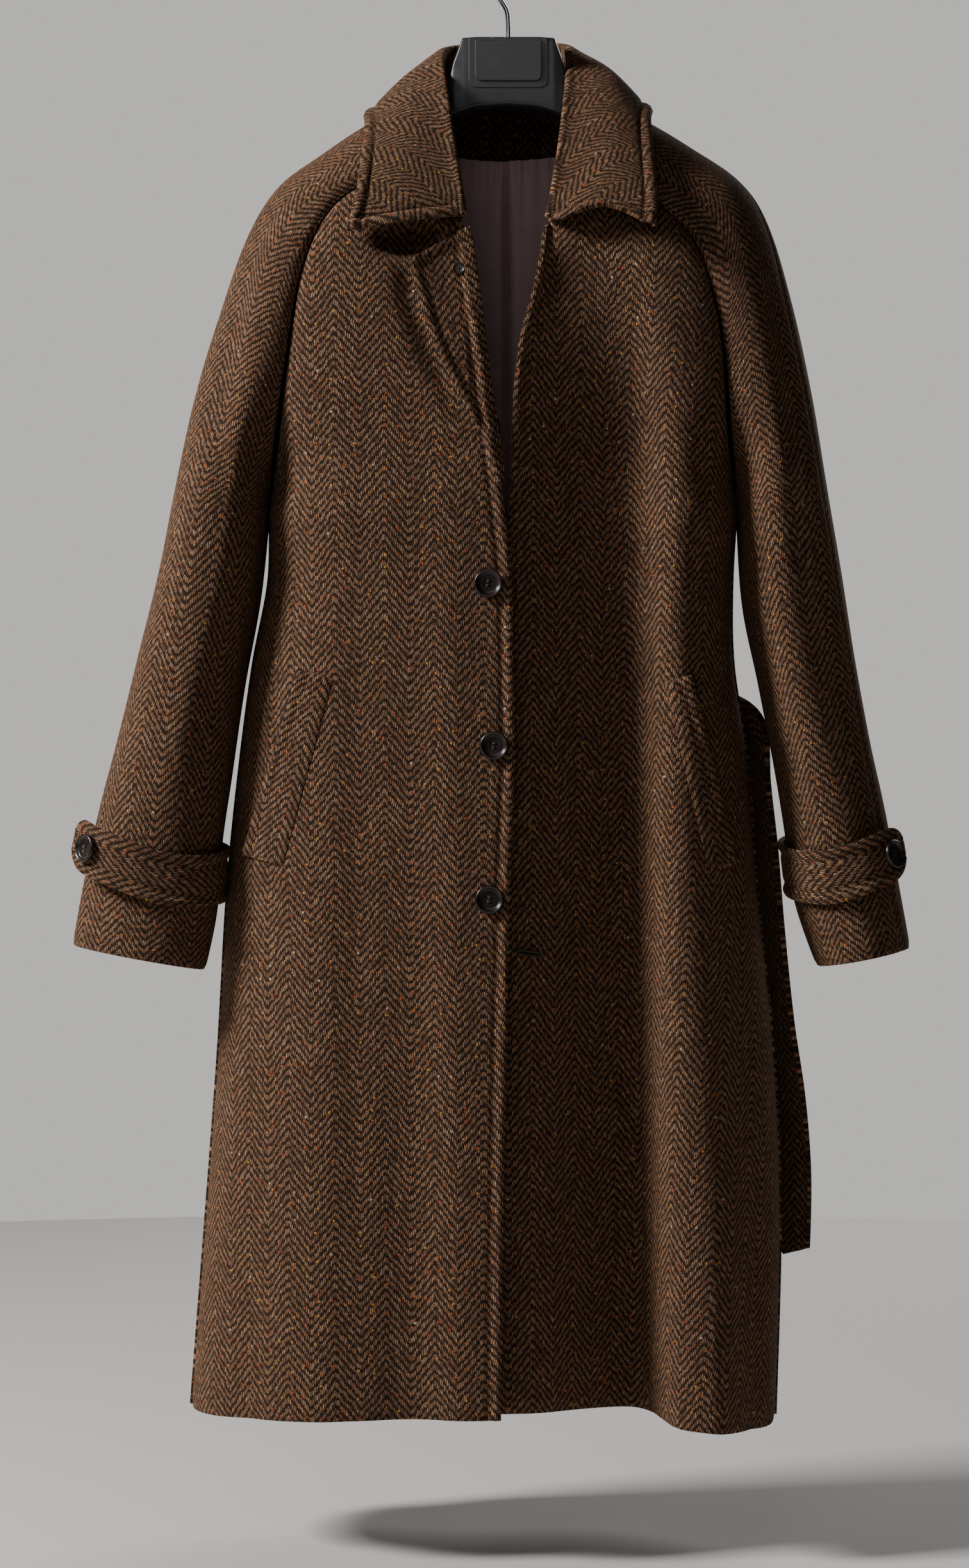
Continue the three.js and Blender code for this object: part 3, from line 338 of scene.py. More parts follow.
# A mesh from a net of points in millimetres, with cloth lengths as its UV map.
def netMesh(name, points, uv, flip):
    rows, columns = points.shape[:2]
    index = np.arange(rows * columns).reshape(rows, columns)
    a, b, c, d = index[:-1, :-1], index[:-1, 1:], index[1:, 1:], index[1:, :-1]
    corners = (a, b, c, d) if flip else (a, d, c, b)
    quads = np.stack(corners, -1).reshape(-1, 4)
    mesh = bpy.data.meshes.new(name)
    mesh.vertices.add(rows * columns)
    mesh.vertices.foreach_set("co", (points.reshape(-1, 3) * mm).ravel())
    mesh.loops.add(quads.size)
    mesh.loops.foreach_set("vertex_index", quads.ravel())
    mesh.polygons.add(len(quads))
    mesh.polygons.foreach_set("loop_start", np.arange(0, quads.size, 4))
    mesh.polygons.foreach_set("use_smooth", np.ones(len(quads), bool))
    layer = mesh.uv_layers.new(name="cloth")
    layer.data.foreach_set("uv", uv.reshape(-1, 2)[quads.ravel()].ravel())
    mesh.update(calc_edges=True)
    mesh.validate()
    return mesh


# A cloth piece: the net thickened inward, its cut edges rounded.
def clothPiece(name, points, uv, flip, thickness, material, offset=-1):
    piece = bpy.data.objects.new(name, netMesh(name, points, uv, flip))
    bpy.context.scene.collection.objects.link(piece)
    thicken = piece.modifiers.new("thickness", "SOLIDIFY")
    thicken.thickness = thickness * mm
    thicken.offset = offset
    soften = piece.modifiers.new("rounded edges", "BEVEL")
    soften.width = 0.3 * thickness * mm
    soften.segments = 2
    soften.limit_method = "ANGLE"
    soften.angle_limit = math.radians(60)
    piece.data.materials.append(material)
    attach(piece, "root")
    return piece


# A piece that needs no thickening, with its material, slot and body.
def plainPiece(name, data, material):
    piece = bpy.data.objects.new(name, data)
    bpy.context.scene.collection.objects.link(piece)
    piece.data.materials.append(material)
    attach(piece, "root")
    return piece


# A round wire or thread along points in metres.
def roundWire(name, lines, radius, material, smooth=2, closed=False, capped=False):
    curve = bpy.data.curves.new(name, "CURVE")
    curve.dimensions = "3D"
    curve.bevel_depth = radius
    curve.bevel_resolution = smooth
    curve.use_fill_caps = capped
    for line in lines:
        spline = curve.splines.new("POLY")
        spline.use_cyclic_u = closed
        spline.points.add(len(line) - 1)
        spline.points.foreach_set("co", np.c_[line, np.ones(len(line))].ravel())
    return plainPiece(name, curve, material)


# sRGB hex to the linear colour that the nodes take.
def linear(hexColour):
    values = [int(hexColour[i : i + 2], 16) / 255 for i in (0, 2, 4)]
    return [v / 12.92 if v < 0.04045 else ((v + 0.055) / 1.055) ** 2.4 for v in values] + [1.0]


# Adds one node; values are its sockets, each a number, a colour or another socket.
def add(tree, kind, values=None, **settings):
    made = tree.nodes.new(kind)
    for name, value in settings.items():
        setattr(made, name, value)
    for socket, value in (values or {}).items():
        if isinstance(value, bpy.types.NodeSocket):
            tree.links.new(value, made.inputs[socket])
        else:
            made.inputs[socket].default_value = value
    return made


def calc(tree, operation, a, b=0.0):
    return add(tree, "ShaderNodeMath", {0: a, 1: b}, operation=operation).outputs[0]


# A smooth ramp of a value from 0 at low to 1 at high.
def ramp(tree, value, low, high):
    made = add(
        tree,
        "ShaderNodeMapRange",
        {"Value": value, "From Min": low, "From Max": high},
        interpolation_type="SMOOTHSTEP",
    )
    return made.outputs[0]


def blendColours(tree, share, a, b):
    made = add(tree, "ShaderNodeMix", data_type="RGBA")
    for socket, value in ((0, share), (6, a), (7, b)):
        if isinstance(value, bpy.types.NodeSocket):
            tree.links.new(value, made.inputs[socket])
        else:
            made.inputs[socket].default_value = value
    return made.outputs[2]


def newMaterial(name):
    material = bpy.data.materials.new(name)
    material.use_nodes = True
    tree = material.node_tree
    tree.nodes.clear()
    shader = add(tree, "ShaderNodeBsdfPrincipled")
    output = add(tree, "ShaderNodeOutputMaterial")
    tree.links.new(shader.outputs[0], output.inputs[0])
    return material, tree, shader


# Noise at a place, as a grey or a colour.
def noise(tree, place, scale, detail=2.0, output="Fac"):
    values = {"Vector": place, "Scale": scale, "Detail": detail}
    return add(tree, "ShaderNodeTexNoise", values).outputs[output]


# A place moved about by noise, by as much as its reach in millimetres.
def shifted(tree, uv, place, scale, reach):
    wave = noise(tree, uv, scale, 2.0, "Color")
    centred = add(
        tree, "ShaderNodeVectorMath", {0: wave, 1: (0.5, 0.5, 0.5)}, operation="SUBTRACT"
    ).outputs[0]
    return add(
        tree, "ShaderNodeVectorMath", {0: centred, 1: reach, 2: place}, operation="MULTIPLY_ADD"
    ).outputs[0]


# Places on the object itself, in metres.
def objectPlace(tree):
    return add(tree, "ShaderNodeTexCoord").outputs["Object"]


def bump(tree, height, strength, distance):
    values = {"Height": height, "Strength": strength, "Distance": distance}
    return add(tree, "ShaderNodeBump", values).outputs[0]


# Herringbone sizes in millimetres: the stripe's width, the yarns' pitch across it, the
# pitch of the twill lines down it, and how steeply they climb
weave = {"stripe": 21.7, "yarn": 1.55, "twill": 7.6, "slope": 1.2}
tweedColours = {
    "ground": "1b120e",
    "groundLight": "2e2018",
    "yarnDark": "573b2c",
    "yarnLight": "b08867",
    "yarnRust": "8c5434",
}


# Herringbone tweed: yarn strokes stand on twill lines that turn at each stripe, in tan
# and rust over a near-black ground, with coloured flecks and a soft nap.
def makeTweed():
    material, tree, shader = newMaterial("herringbone_tweed")
    uv = add(tree, "ShaderNodeUVMap", uv_map="cloth").outputs[0]
    moved = shifted(tree, uv, uv, 0.13, (3.2, 5.5, 0.0))
    moved = shifted(tree, uv, moved, 0.75, (1.9, 2.6, 0.0))
    parts = add(tree, "ShaderNodeSeparateXYZ", {0: moved})
    u, v = parts.outputs[0], parts.outputs[1]
    yarn = calc(tree, "FLOOR", calc(tree, "DIVIDE", u, weave["yarn"]))
    middle = calc(tree, "MULTIPLY", calc(tree, "ADD", yarn, 0.5), weave["yarn"])
    turned = calc(tree, "PINGPONG", middle, weave["stripe"])
    climb = calc(tree, "MULTIPLY", turned, weave["slope"])
    yarnChance = add(
        tree, "ShaderNodeTexWhiteNoise", {"W": yarn}, noise_dimensions="1D"
    ).outputs[0]
    jitter = calc(tree, "MULTIPLY", calc(tree, "SUBTRACT", yarnChance, 0.5), 1.5)
    lines = calc(tree, "ADD", calc(tree, "ADD", v, climb), jitter)
    phase = calc(tree, "DIVIDE", lines, weave["twill"])
    inLine = calc(tree, "FRACT", phase)
    off = calc(tree, "ABSOLUTE", calc(tree, "SUBTRACT", inLine, 0.5))
    stroke = ramp(tree, off, 0.38, 0.17)
    inYarn = calc(tree, "FRACT", calc(tree, "DIVIDE", u, weave["yarn"]))
    side = calc(tree, "ABSOLUTE", calc(tree, "SUBTRACT", inYarn, 0.5))
    body = ramp(tree, side, 0.5, 0.16)
    raised = calc(tree, "MULTIPLY", stroke, body)
    strokeId = add(
        tree, "ShaderNodeCombineXYZ", {0: yarn, 1: calc(tree, "FLOOR", phase)}
    ).outputs[0]
    chance = add(
        tree, "ShaderNodeTexWhiteNoise", {"Vector": strokeId}, noise_dimensions="2D"
    )
    fuzz = noise(tree, uv, 1.6, 4.0)
    cloudy = noise(tree, uv, 0.02, 3.0)
    yarnTone = calc(tree, "ADD", calc(tree, "MULTIPLY", chance.outputs[0], 0.7), -0.1)
    yarnTone = calc(tree, "ADD", yarnTone, calc(tree, "MULTIPLY", fuzz, 0.5))
    light = blendColours(
        tree, yarnTone, linear(tweedColours["yarnDark"]), linear(tweedColours["yarnLight"])
    )
    rust = ramp(tree, chance.outputs[1], 0.62, 0.9)
    light = blendColours(
        tree, calc(tree, "MULTIPLY", rust, 0.7), light, linear(tweedColours["yarnRust"])
    )
    ground = blendColours(
        tree, fuzz, linear(tweedColours["ground"]), linear(tweedColours["groundLight"])
    )
    colour = blendColours(tree, raised, ground, light)
    shade = calc(tree, "ADD", calc(tree, "MULTIPLY", cloudy, 0.3), 0.85)
    colour = add(
        tree, "ShaderNodeVectorMath", {0: colour, "Scale": shade}, operation="SCALE"
    ).outputs[0]
    spots = add(
        tree,
        "ShaderNodeTexVoronoi",
        {"Vector": uv, "Scale": 0.085, "Randomness": 1.0},
        voronoi_dimensions="2D",
    )
    spotParts = add(tree, "ShaderNodeSeparateXYZ", {0: spots.outputs["Color"]})
    chosen = calc(tree, "GREATER_THAN", spotParts.outputs[0], 0.6)
    ragged = calc(tree, "MULTIPLY", fuzz, 0.06)
    near = ramp(tree, calc(tree, "ADD", spots.outputs["Distance"], ragged), 0.15, 0.09)
    fleck = add(tree, "ShaderNodeValToRGB", {0: spotParts.outputs[1]})
    fleck.color_ramp.interpolation = "CONSTANT"
    fleck.color_ramp.elements[0].color = linear("b8552b")
    fleck.color_ramp.elements[1].position = 0.34
    fleck.color_ramp.elements[1].color = linear("c98a3a")
    for position, name in ((0.62, "9a4326"), (0.93, "cbb49a")):
        fleck.color_ramp.elements.new(position).color = linear(name)
    spot = calc(tree, "MULTIPLY", calc(tree, "MULTIPLY", near, chosen), 0.8)
    colour = blendColours(tree, spot, colour, fleck.outputs[0])
    height = calc(tree, "ADD", raised, calc(tree, "MULTIPLY", fuzz, 0.7))
    height = calc(tree, "ADD", height, calc(tree, "MULTIPLY", spot, 0.8))
    relief = bump(tree, height, 0.9, 0.0009)
    tree.links.new(colour, shader.inputs["Base Color"])
    tree.links.new(relief, shader.inputs["Normal"])
    shader.inputs["Roughness"].default_value = 0.92
    shader.inputs["Specular IOR Level"].default_value = 0.15
    shader.inputs["Sheen Weight"].default_value = 0.25
    shader.inputs["Sheen Roughness"].default_value = 0.45
    shader.inputs["Sheen Tint"].default_value = linear("a98263")
    return material


# Lining: mauve-brown satin, with a fine twill line and a long soft gloss.
def makeLining():
    material, tree, shader = newMaterial("satin_lining")
    uv = add(tree, "ShaderNodeUVMap", uv_map="cloth").outputs[0]
    fine = add(
        tree,
        "ShaderNodeTexWave",
        {"Vector": uv, "Scale": 0.9, "Distortion": 0.4},
        bands_direction="DIAGONAL",
    ).outputs["Fac"]
    slub = noise(tree, uv, 0.05, 4.0)
    colour = blendColours(tree, slub, linear("b39391"), linear("cfb1ae"))
    relief = bump(tree, fine, 0.15, 0.0002)
    tree.links.new(colour, shader.inputs["Base Color"])
    tree.links.new(relief, shader.inputs["Normal"])
    shader.inputs["Roughness"].default_value = 0.42
    shader.inputs["Sheen Weight"].default_value = 0.15
    return material


# Horn: polished near-black with faint brown clouds.
def makeHorn():
    material, tree, shader = newMaterial("dark_horn")
    clouds = noise(tree, objectPlace(tree), 60.0, 4.0)
    colour = blendColours(tree, ramp(tree, clouds, 0.4, 0.75), linear("17110f"), linear("3a2c27"))
    tree.links.new(colour, shader.inputs["Base Color"])
    shader.inputs["Roughness"].default_value = 0.28
    return material


# Moulded plastic: satin black with a faint grain.
def makePlastic():
    material, tree, shader = newMaterial("moulded_plastic")
    grain = noise(tree, objectPlace(tree), 1400.0)
    haze = noise(tree, objectPlace(tree), 45.0, 3.0)
    relief = bump(tree, grain, 0.12, 0.0003)
    colour = blendColours(tree, haze, linear("2b2b2d"), linear("39393b"))
    tree.links.new(colour, shader.inputs["Base Color"])
    tree.links.new(ramp(tree, haze, -0.7, 2.4), shader.inputs["Roughness"])
    tree.links.new(relief, shader.inputs["Normal"])
    return material


# Chrome: bright wire with fine drawing marks along it.
def makeChrome():
    material, tree, shader = newMaterial("chromed_wire")
    marks = noise(tree, objectPlace(tree), 900.0)
    tree.links.new(ramp(tree, marks, -0.6, 5.0), shader.inputs["Roughness"])
    shader.inputs["Base Color"].default_value = linear("c4c4c8")
    shader.inputs["Metallic"].default_value = 1.0
    return material


# Thread: dark brown with the twist of its plies.
def makeThread():
    material, tree, shader = newMaterial("sewing_thread")
    place = objectPlace(tree)
    twist = add(tree, "ShaderNodeTexWave", {"Vector": place, "Scale": 900.0}).outputs["Fac"]
    colour = blendColours(tree, twist, linear("20150f"), linear("4a3324"))
    tree.links.new(colour, shader.inputs["Base Color"])
    shader.inputs["Roughness"].default_value = 0.8
    return material


# Painted shade: a near-black sheet with a faint cloth grain, laid in the pocket mouths and the
# buttonhole slit where there is only shade.
def makeOpeningShade():
    material, tree, shader = newMaterial("painted_opening_shade")
    cloth = noise(tree, objectPlace(tree), 700.0)
    colour = blendColours(tree, cloth, linear("060504"), linear("120d0a"))
    tree.links.new(colour, shader.inputs["Base Color"])
    shader.inputs["Roughness"].default_value = 0.95
    return material


tweed = makeTweed()
lining = makeLining()
openingShade = makeOpeningShade()
horn = makeHorn()
plastic = makePlastic()
chrome = makeChrome()
thread = makeThread()
print("materials made")

# Rows of the nets, about 6 mm apart, and columns that crowd toward the edges
bodyLevels = np.concatenate([np.linspace(0, 7, 85), np.linspace(7, 14, 140)[1:]])
sleeveLevels = np.concatenate([np.linspace(0, 7, 85), np.linspace(7, 13, 76)[1:]])


# Where a net's ends lie, columns are drawn in as a seam is: a valley beside each seam
# and a rolled, stitched ridge beside each free edge.
def seamValley(distance, depth=2.2, width=5.0):
    return -depth * bell(distance, width)


def rolledEdge(distance):
    return 2.3 * bell(distance - 4, 3.8) - 1.5 * bell(distance - 10.5, 2.6)


def columnShares(count, startCrowd, endCrowd, width):
    close = np.array([0, 1.5, 3, 4.5, 6, 8, 9.2, 10, 10.8, 12, 14, 17]) / width
    even = np.linspace(0, 1, count)
    shares = [s for s in even if 20 / width < s < 1 - 20 / width]
    start = close if startCrowd else even[even <= 20 / width]
    end = 1 - close if endCrowd else even[even >= 1 - 20 / width]
    return np.unique(np.round(np.concatenate([start, shares, end]), 6))


# Cloth lengths of a body panel: across along its level sections, and straight down.
def bodyUv(points, outward):
    flat = points.copy()
    flat[..., 2] = 0
    across = points[:, :1, 0] + outward * runningLength(flat)
    return np.stack([across, -points[..., 2]], -1)


panels = {}
# Turned lapel: its rows give the fold's x, the free edge's x, and z.
lapelRows = [
    [-36, -40, -262], [-33, -84, -292], [-26, -78, -330], [-20, -61, -375],
    [-15, -42, -412], [-10, -24, -446], [-5, -10, -486],
]
# Hollow under the collar's right end: its middle, half width, half height and depth
collarHollow = {"x": -82, "z": -274, "halfWidth": 31, "halfHeight": 15, "depth": 22}


# The right front sinks under the collar's end and beside the lapel's free edge.
def lapelHollows(points):
    x, z = points[..., 0], points[..., 2]
    form = collarHollow
    far = ((x - form["x"]) / form["halfWidth"]) ** 2 + ((z - form["z"]) / form["halfHeight"]) ** 2
    rows = np.array(lapelRows[1:], float)
    edge = np.interp(-z, -rows[:, 2], rows[:, 1])
    beside = bell(x - edge + 7, 11) * step(285, 315, -z) * (1 - step(380, 470, -z))
    return form["depth"] * np.exp(-(far**2)) + 6 * beside


# A front: its free edge is rolled and stitched, and it dips into its seam.
def makeFront(side):
    outward = -1 if side == "right" else 1
    shares = columnShares(46, True, True, 260)
    level, t = np.meshgrid(bodyLevels, shares, indexing="ij")
    points = frontPoint(side, level, t)
    uv = bodyUv(points, outward)
    normals = normalsOf(points, outward)
    fromEdge = runningLength(points)
    fromSeam = fromEdge[:, -1:] - fromEdge
    fromHem = points[..., 2] - points[-1:, :, 2]
    lift = rolledEdge(fromEdge) + seamValley(fromSeam)
    lift = lift - 1.2 * bell(fromHem, 5)
    points = points + normals * lift[..., None]
    panels[side + "_front"] = (points.copy(), normals)
    if side == "right":
        points[..., 1] += lapelHollows(points)
    piece = clothPiece(
        side + "_front_cloth", points, uv, side == "right", tweedThickness, tweed
    )
    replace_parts(piece, side + "_front")


def makeBack():
    shares = columnShares(92, True, True, 560)
    level, t = np.meshgrid(bodyLevels, shares, indexing="ij")
    points = backPoint(level, t)
    flat = points.copy()
    flat[..., 2] = 0
    across = runningLength(flat)
    centre = np.abs(shares - 0.5).argmin()
    uv = np.stack([across - across[:, centre : centre + 1], -points[..., 2]], -1)
    normals = normalsOf(points, -1)
    lengthwise = runningLength(points)
    fromSeam = np.minimum(lengthwise, lengthwise[:, -1:] - lengthwise)
    # The back's edges lap over the sunk edges of its neighbours.
    points = points - normals * seamValley(fromSeam)[..., None]
    panels["back"] = (points, normals)
    piece = clothPiece("back_cloth", points, uv, True, tweedThickness, tweed)
    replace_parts(piece, "back")


# Half a sleeve, from its front or back seam to the overarm seam.
def makeSleeve(side, half):
    shares = columnShares(34, True, True, 190)
    level, t = np.meshgrid(sleeveLevels, shares, indexing="ij")
    seam = -along(crest[side], level)[..., 5]
    roundAt = mix(-1, seam, t) if half == "front" else mix(seam, 1, t)
    points = sleevePoint(side, level, roundAt)
    sign = 1 if side == "left" else -1
    normals = normalsOf(points, sign)
    across = runningLength(points)
    crestLine = along(crest[side], sleeveLevels)[:, :3]
    down = np.concatenate([[0], np.cumsum(np.linalg.norm(np.diff(crestLine, axis=0), axis=1))])
    start = across[:, -1:] if half == "front" else 0
    uv = np.stack([across - start, np.broadcast_to(down[:, None], across.shape)], -1)
    fromSeam = np.minimum(across, across[:, -1:] - across)
    fromCuff = down[-1] - down[:, None]
    lift = seamValley(fromSeam) - 1.2 * bell(fromCuff, 4)
    points = points + normals * lift[..., None]
    name = side + "_sleeve_" + half
    panels[name] = (points, normals)
    piece = clothPiece(
        name + "_cloth", points, uv, side == "right", tweedThickness, tweed
    )
    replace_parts(piece, name)


makeFront("right")
makeFront("left")
makeBack()
for side in ("right", "left"):
    for half in ("front", "back"):
        makeSleeve(side, half)
print("body and sleeves made")

# Collar: rows of the neck seam, the roll and the outer edge, from the front end to the
# centre back
collarRows = {
    "right": {
        "neck": [
            [-43, -88, -253], [-49, -73, -223], [-57, -53, -188], [-63, -28, -155],
            [-65, 3, -128], [-48, 45, -121], [0, 63, -118],
        ],
        "roll": [
            [-39, -96, -250], [-43, -88, -226], [-49, -68, -186], [-55, -41, -138],
            [-59, -2, -99], [-49, 42, -82], [0, 61, -77],
        ],
        "outer": [
            [-140, -111, -268], [-133, -101, -239], [-128, -78, -203], [-125, -41, -166],
            [-124, 4, -149], [-94, 72, -144], [0, 88, -139],
        ],
        "arch": 6,
        "endArch": -6,
    },
    "left": {
        "neck": [
            [36, -87, -256], [45, -72, -224], [55, -54, -187], [63, -28, -155],
            [65, 4, -129], [48, 45, -121], [0, 63, -118],
        ],
        "roll": [
            [34, -95, -254], [39, -84, -229], [45, -65, -189], [51, -38, -140],
            [54, 0, -96], [47, 42, -80], [0, 61, -77],
        ],
        "outer": [
            [126, -109, -264], [128, -96, -237], [126, -72, -202], [124, -38, -162],
            [124, 4, -145], [94, 72, -143], [0, 88, -139],
        ],
        "arch": 10,
        "endArch": 4,
    },
}
collarLast = 6
collarCut = {"roll": 200.0, "radius": 330.0}


# The collar at places from -6 at the right front end to 6 at the left one, and at
# shares across from the neck seam over the roll to the outer edge.
def collarPoint(place, across):
    result = np.zeros(place.shape + (3,))
    level = collarLast - np.abs(place)
    for side, chosen in (("right", place < 0), ("left", place >= 0)):
        rows = collarRows[side]
        neck, roll, outer = (along(rows[key], level) for key in ("neck", "roll", "outer"))
        away = outer - roll
        away[..., 2] = 0
        away = unit(away)
        end = np.maximum(1 - level, 0) ** 2
        middle = (roll + outer) / 2 + away * 3
        middle[..., 2] += rows["arch"] + rows["endArch"] * end
        middle[..., 1] -= 5 * end
        shoulder = roll + away * 9
        shoulder[..., 2] -= 3
        stand = mix(neck, roll, 0.7)
        stops = np.stack([neck, stand, roll, shoulder, middle, outer])
        f = across * 5
        i = np.minimum(np.floor(f).astype(int), 4)
        g = (f - i)[..., None]
        grid = np.indices(place.shape)

        def stop(k):
            return stops[(np.clip(i + k, 0, 5), *grid)]

        a, b, c, d = stop(-1), stop(0), stop(1), stop(2)
        bend = 2 * a - 5 * b + 4 * c - d
        twist = 3 * b - a - 3 * c + d
        curve = b + 0.5 * g * (c - a + g * (bend + g * twist))
        result = np.where(chosen[..., None], curve, result)
    return result


def makeCollar():
    even = np.linspace(-1, 1, 221)
    places = collarLast * (0.6 * even + 0.4 * np.sin(np.pi / 2 * even))
    shares = np.concatenate([np.linspace(0, 0.84, 30), np.linspace(0.84, 1, 14)[1:]])
    place, across = np.meshgrid(places, shares, indexing="ij")
    points = collarPoint(place, across)
    normals = normalsOf(points, 1)
    over = runningLength(points)
    rollAt = np.abs(shares - 0.4).argmin()
    leaf = over - over[:, rollAt : rollAt + 1]
    lengthwise = runningLength(points, 0)[:, rollAt]
    lengthwise = (lengthwise - lengthwise[len(lengthwise) // 2])[:, None] * 1.15
    turn = lengthwise / collarCut["radius"]
    reach = collarCut["radius"] + leaf
    uv = np.stack([reach * np.sin(turn), reach * np.cos(turn) - collarCut["radius"]], -1)
    fromOuter = over[:, -1:] - over
    down = runningLength(points, 0)
    fromEnds = np.minimum(down, down[-1:] - down)
    onLeaf = step(4, 14, leaf)
    lift = (rolledEdge(fromOuter) + rolledEdge(fromEnds)) * onLeaf
    points = points + normals * lift[..., None]
    piece = clothPiece("collar_cloth", points, uv, False, doubledThickness, tweed, 0)
    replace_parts(piece, "collar")


makeCollar()
print("collar made")


# Places on a panel seen from the front, given by x and z: each lies on the plane of the
# panel's nearest point. The normals come with them.
def onPanel(name, x, z):
    points, normals = panels[name]
    points, normals = points.reshape(-1, 3), normals.reshape(-1, 3)
    farX = points[None, :, 0] - x.reshape(-1, 1)
    farZ = points[None, :, 2] - z.reshape(-1, 1)
    nearest = (farX**2 + farZ**2).argmin(1)
    near, normal = points[nearest], normals[nearest]
    dx, dz = x.ravel() - near[:, 0], z.ravel() - near[:, 2]
    y = near[:, 1] - (normal[:, 0] * dx + normal[:, 2] * dz) / normal[:, 1]
    place = np.stack([x.ravel(), y, z.ravel()], -1)
    return place.reshape(x.shape + (3,)), normal.reshape(x.shape + (3,))


def makeLapel():
    down, across = np.meshgrid(np.linspace(0, 1, 70), np.linspace(0, 1, 26), indexing="ij")
    row = along(lapelRows, mix(1, len(lapelRows) - 1, down))
    top = np.maximum(1 - 3 * down, 0)
    x = mix(row[..., 0], row[..., 1], across)
    z = row[..., 2] + top * (1 - across) * (-261 - lapelRows[1][2])
    place, normal = onPanel("right_front", x, z)
    over = runningLength(place)
    fromFree = over[:, -1:] - over
    fromTop = runningLength(place, 0)
    loose = step(0, 1, across) * (1 - down) ** 1.2
    lift = 4.6 + 9.0 * loose + 1.6 * bell(fromFree - 4, 4) + 1.8 * bell(fromTop - 4, 4)
    lift = lift - 1.1 * bell(fromFree - 11, 2.2) * (over[:, -1:] > 18)
    lift = lift - 1.1 * bell(fromTop - 11, 2.2)
    points = place + normal * lift[..., None]
    points[..., 0] += 2.5 * bell(over, 4)
    points[..., 1] += 2.5 * bell(over, 2.5)
    uv = np.stack([over, -z], -1)
    piece = clothPiece("right_lapel_cloth", points, uv, True, 4.2, tweed)
    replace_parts(piece, "right_lapel")


makeLapel()

# Pocket welts: the corners' x and z, in the order top inner, top opening, foot inner,
# foot opening
weltCorners = {
    "right": [[-152, -654], [-181, -648], [-197, -820], [-230, -810]],
    "left": [[135, -658], [157, -652], [174, -827], [196, -817]],
}


def makeWelt(side):
    a, b, c, d = np.array(weltCorners[side], float)
    s, t = np.meshgrid(np.linspace(0, 1, 60), np.linspace(0, 1, 16), indexing="ij")
    s1, t1 = s[..., None], t[..., None]
    flat = mix(mix(a, b, t1), mix(c, d, t1), s1)
    place, normal = onPanel(side + "_front", flat[..., 0], flat[..., 1])
    over = runningLength(place)
    fromOpening = over[:, -1:] - over
    down = runningLength(place, 0)
    fromEnds = np.minimum(down, down[-1:] - down)
    thick = 1.9 + 4.1 * t
    lift = thick + 1.0 * bell(fromOpening - 4, 3.4) - 1.0 * bell(fromOpening - 10, 2)
    lift = lift - 1.3 * bell(over, 3) - 2.2 * bell(fromEnds, 2.5)
    points = place + normal * lift[..., None]
    uv = np.stack([over + 11, down], -1)
    piece = clothPiece(
        side + "_pocket_welt_cloth", points, uv, side == "right", 2.4, tweed
    )
    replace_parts(piece, side + "_pocket_welt")
    # The pocket mouth: a thin near-black strip of painted shade laid on the front just outside the
    # opening edge, where the gap falls into shadow.
    outward = unit(place[:, -1:] - place[:, -2:-1])
    mouth = place[:, -1:] + np.linspace(-6, 4, 9)[None, :, None] * outward
    mouth = mouth + normal[:, -1:] * 1.4
    depth = np.broadcast_to(runningLength(mouth), mouth.shape[:2])
    mouthUv = np.stack([depth, down[:, :1] + 0 * depth], -1)
    shade = clothPiece(
        side + "_pocket_mouth_shade", mouth, mouthUv, side == "right", 0.5, openingShade, 0
    )


for side in ("right", "left"):
    makeWelt(side)
print("lapel and welts made")

# Neck facing and lining inside the back
facingForm = {"top": -131, "topHalf": 44, "foot": -177, "footHalf": 66}


def makeFacing():
    s, t = np.meshgrid(np.linspace(0, 1, 24), np.linspace(-1, 1, 60), indexing="ij")
    half = mix(facingForm["topHalf"], facingForm["footHalf"], s)
    x, z = half * t, mix(facingForm["top"], facingForm["foot"], s)
    place, normal = onPanel("back", x, z)
    points = place - normal * (tweedThickness + 2.8)
    uv = np.stack([x, -z], -1)
    piece = clothPiece("back_neck_facing_cloth", points, uv, False, 2.0, tweed)
    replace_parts(piece, "back_neck_facing")


liningForm = {"top": 1.16, "foot": 13.4, "inset": 9, "share": 0.36}


def makeBackLining():
    levels = np.linspace(liningForm["top"], liningForm["foot"], 170)
    even = np.linspace(-1, 1, 121)
    shares = 0.5 + 0.5 * (0.3 * even + 0.7 * even**3)
    level, t = np.meshgrid(levels, shares, indexing="ij")
    points = backPoint(level, mix(0.5 - liningForm["share"], 0.5 + liningForm["share"], t))
    x, z = points[..., 0].copy(), points[..., 2].copy()
    pleat = 1 / (1 + np.exp(-(x - 1) / 1.3))
    fromTop = z[:1] - z
    gather = 1.3 * np.sin(x * 0.62 + 1.7 * np.sin(x * 0.13)) * np.exp(-fromTop / 26)
    soft = 1.2 * np.sin(x * 0.09 + 0.6) * step(0, 120, fromTop)
    slit = 7.4 * bell(x + 2, 3.2) * step(0, 24, fromTop)
    ridge = (5 + 6 * pleat) * bell(x, 60)
    points[..., 1] -= liningForm["inset"] + ridge + gather + soft - slit
    uv = np.stack([x, -z], -1)
    piece = clothPiece("back_lining_cloth", points, uv, True, liningThickness, lining)
    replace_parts(piece, "back_lining")


makeFacing()
makeBackLining()
print("facing and lining made")

# Cuff straps: places round the sleeve, the levels of the middle line, and how far the
# round end stands off
straps = {
    "right": {"from": -1.42, "to": -0.12, "levels": [11.36, 11.44, 11.7, 11.52], "off": 13},
    "left": {"from": -1.42, "to": -0.17, "levels": [11.42, 11.5, 11.74, 11.62], "off": 9},
}
levelLength = 61


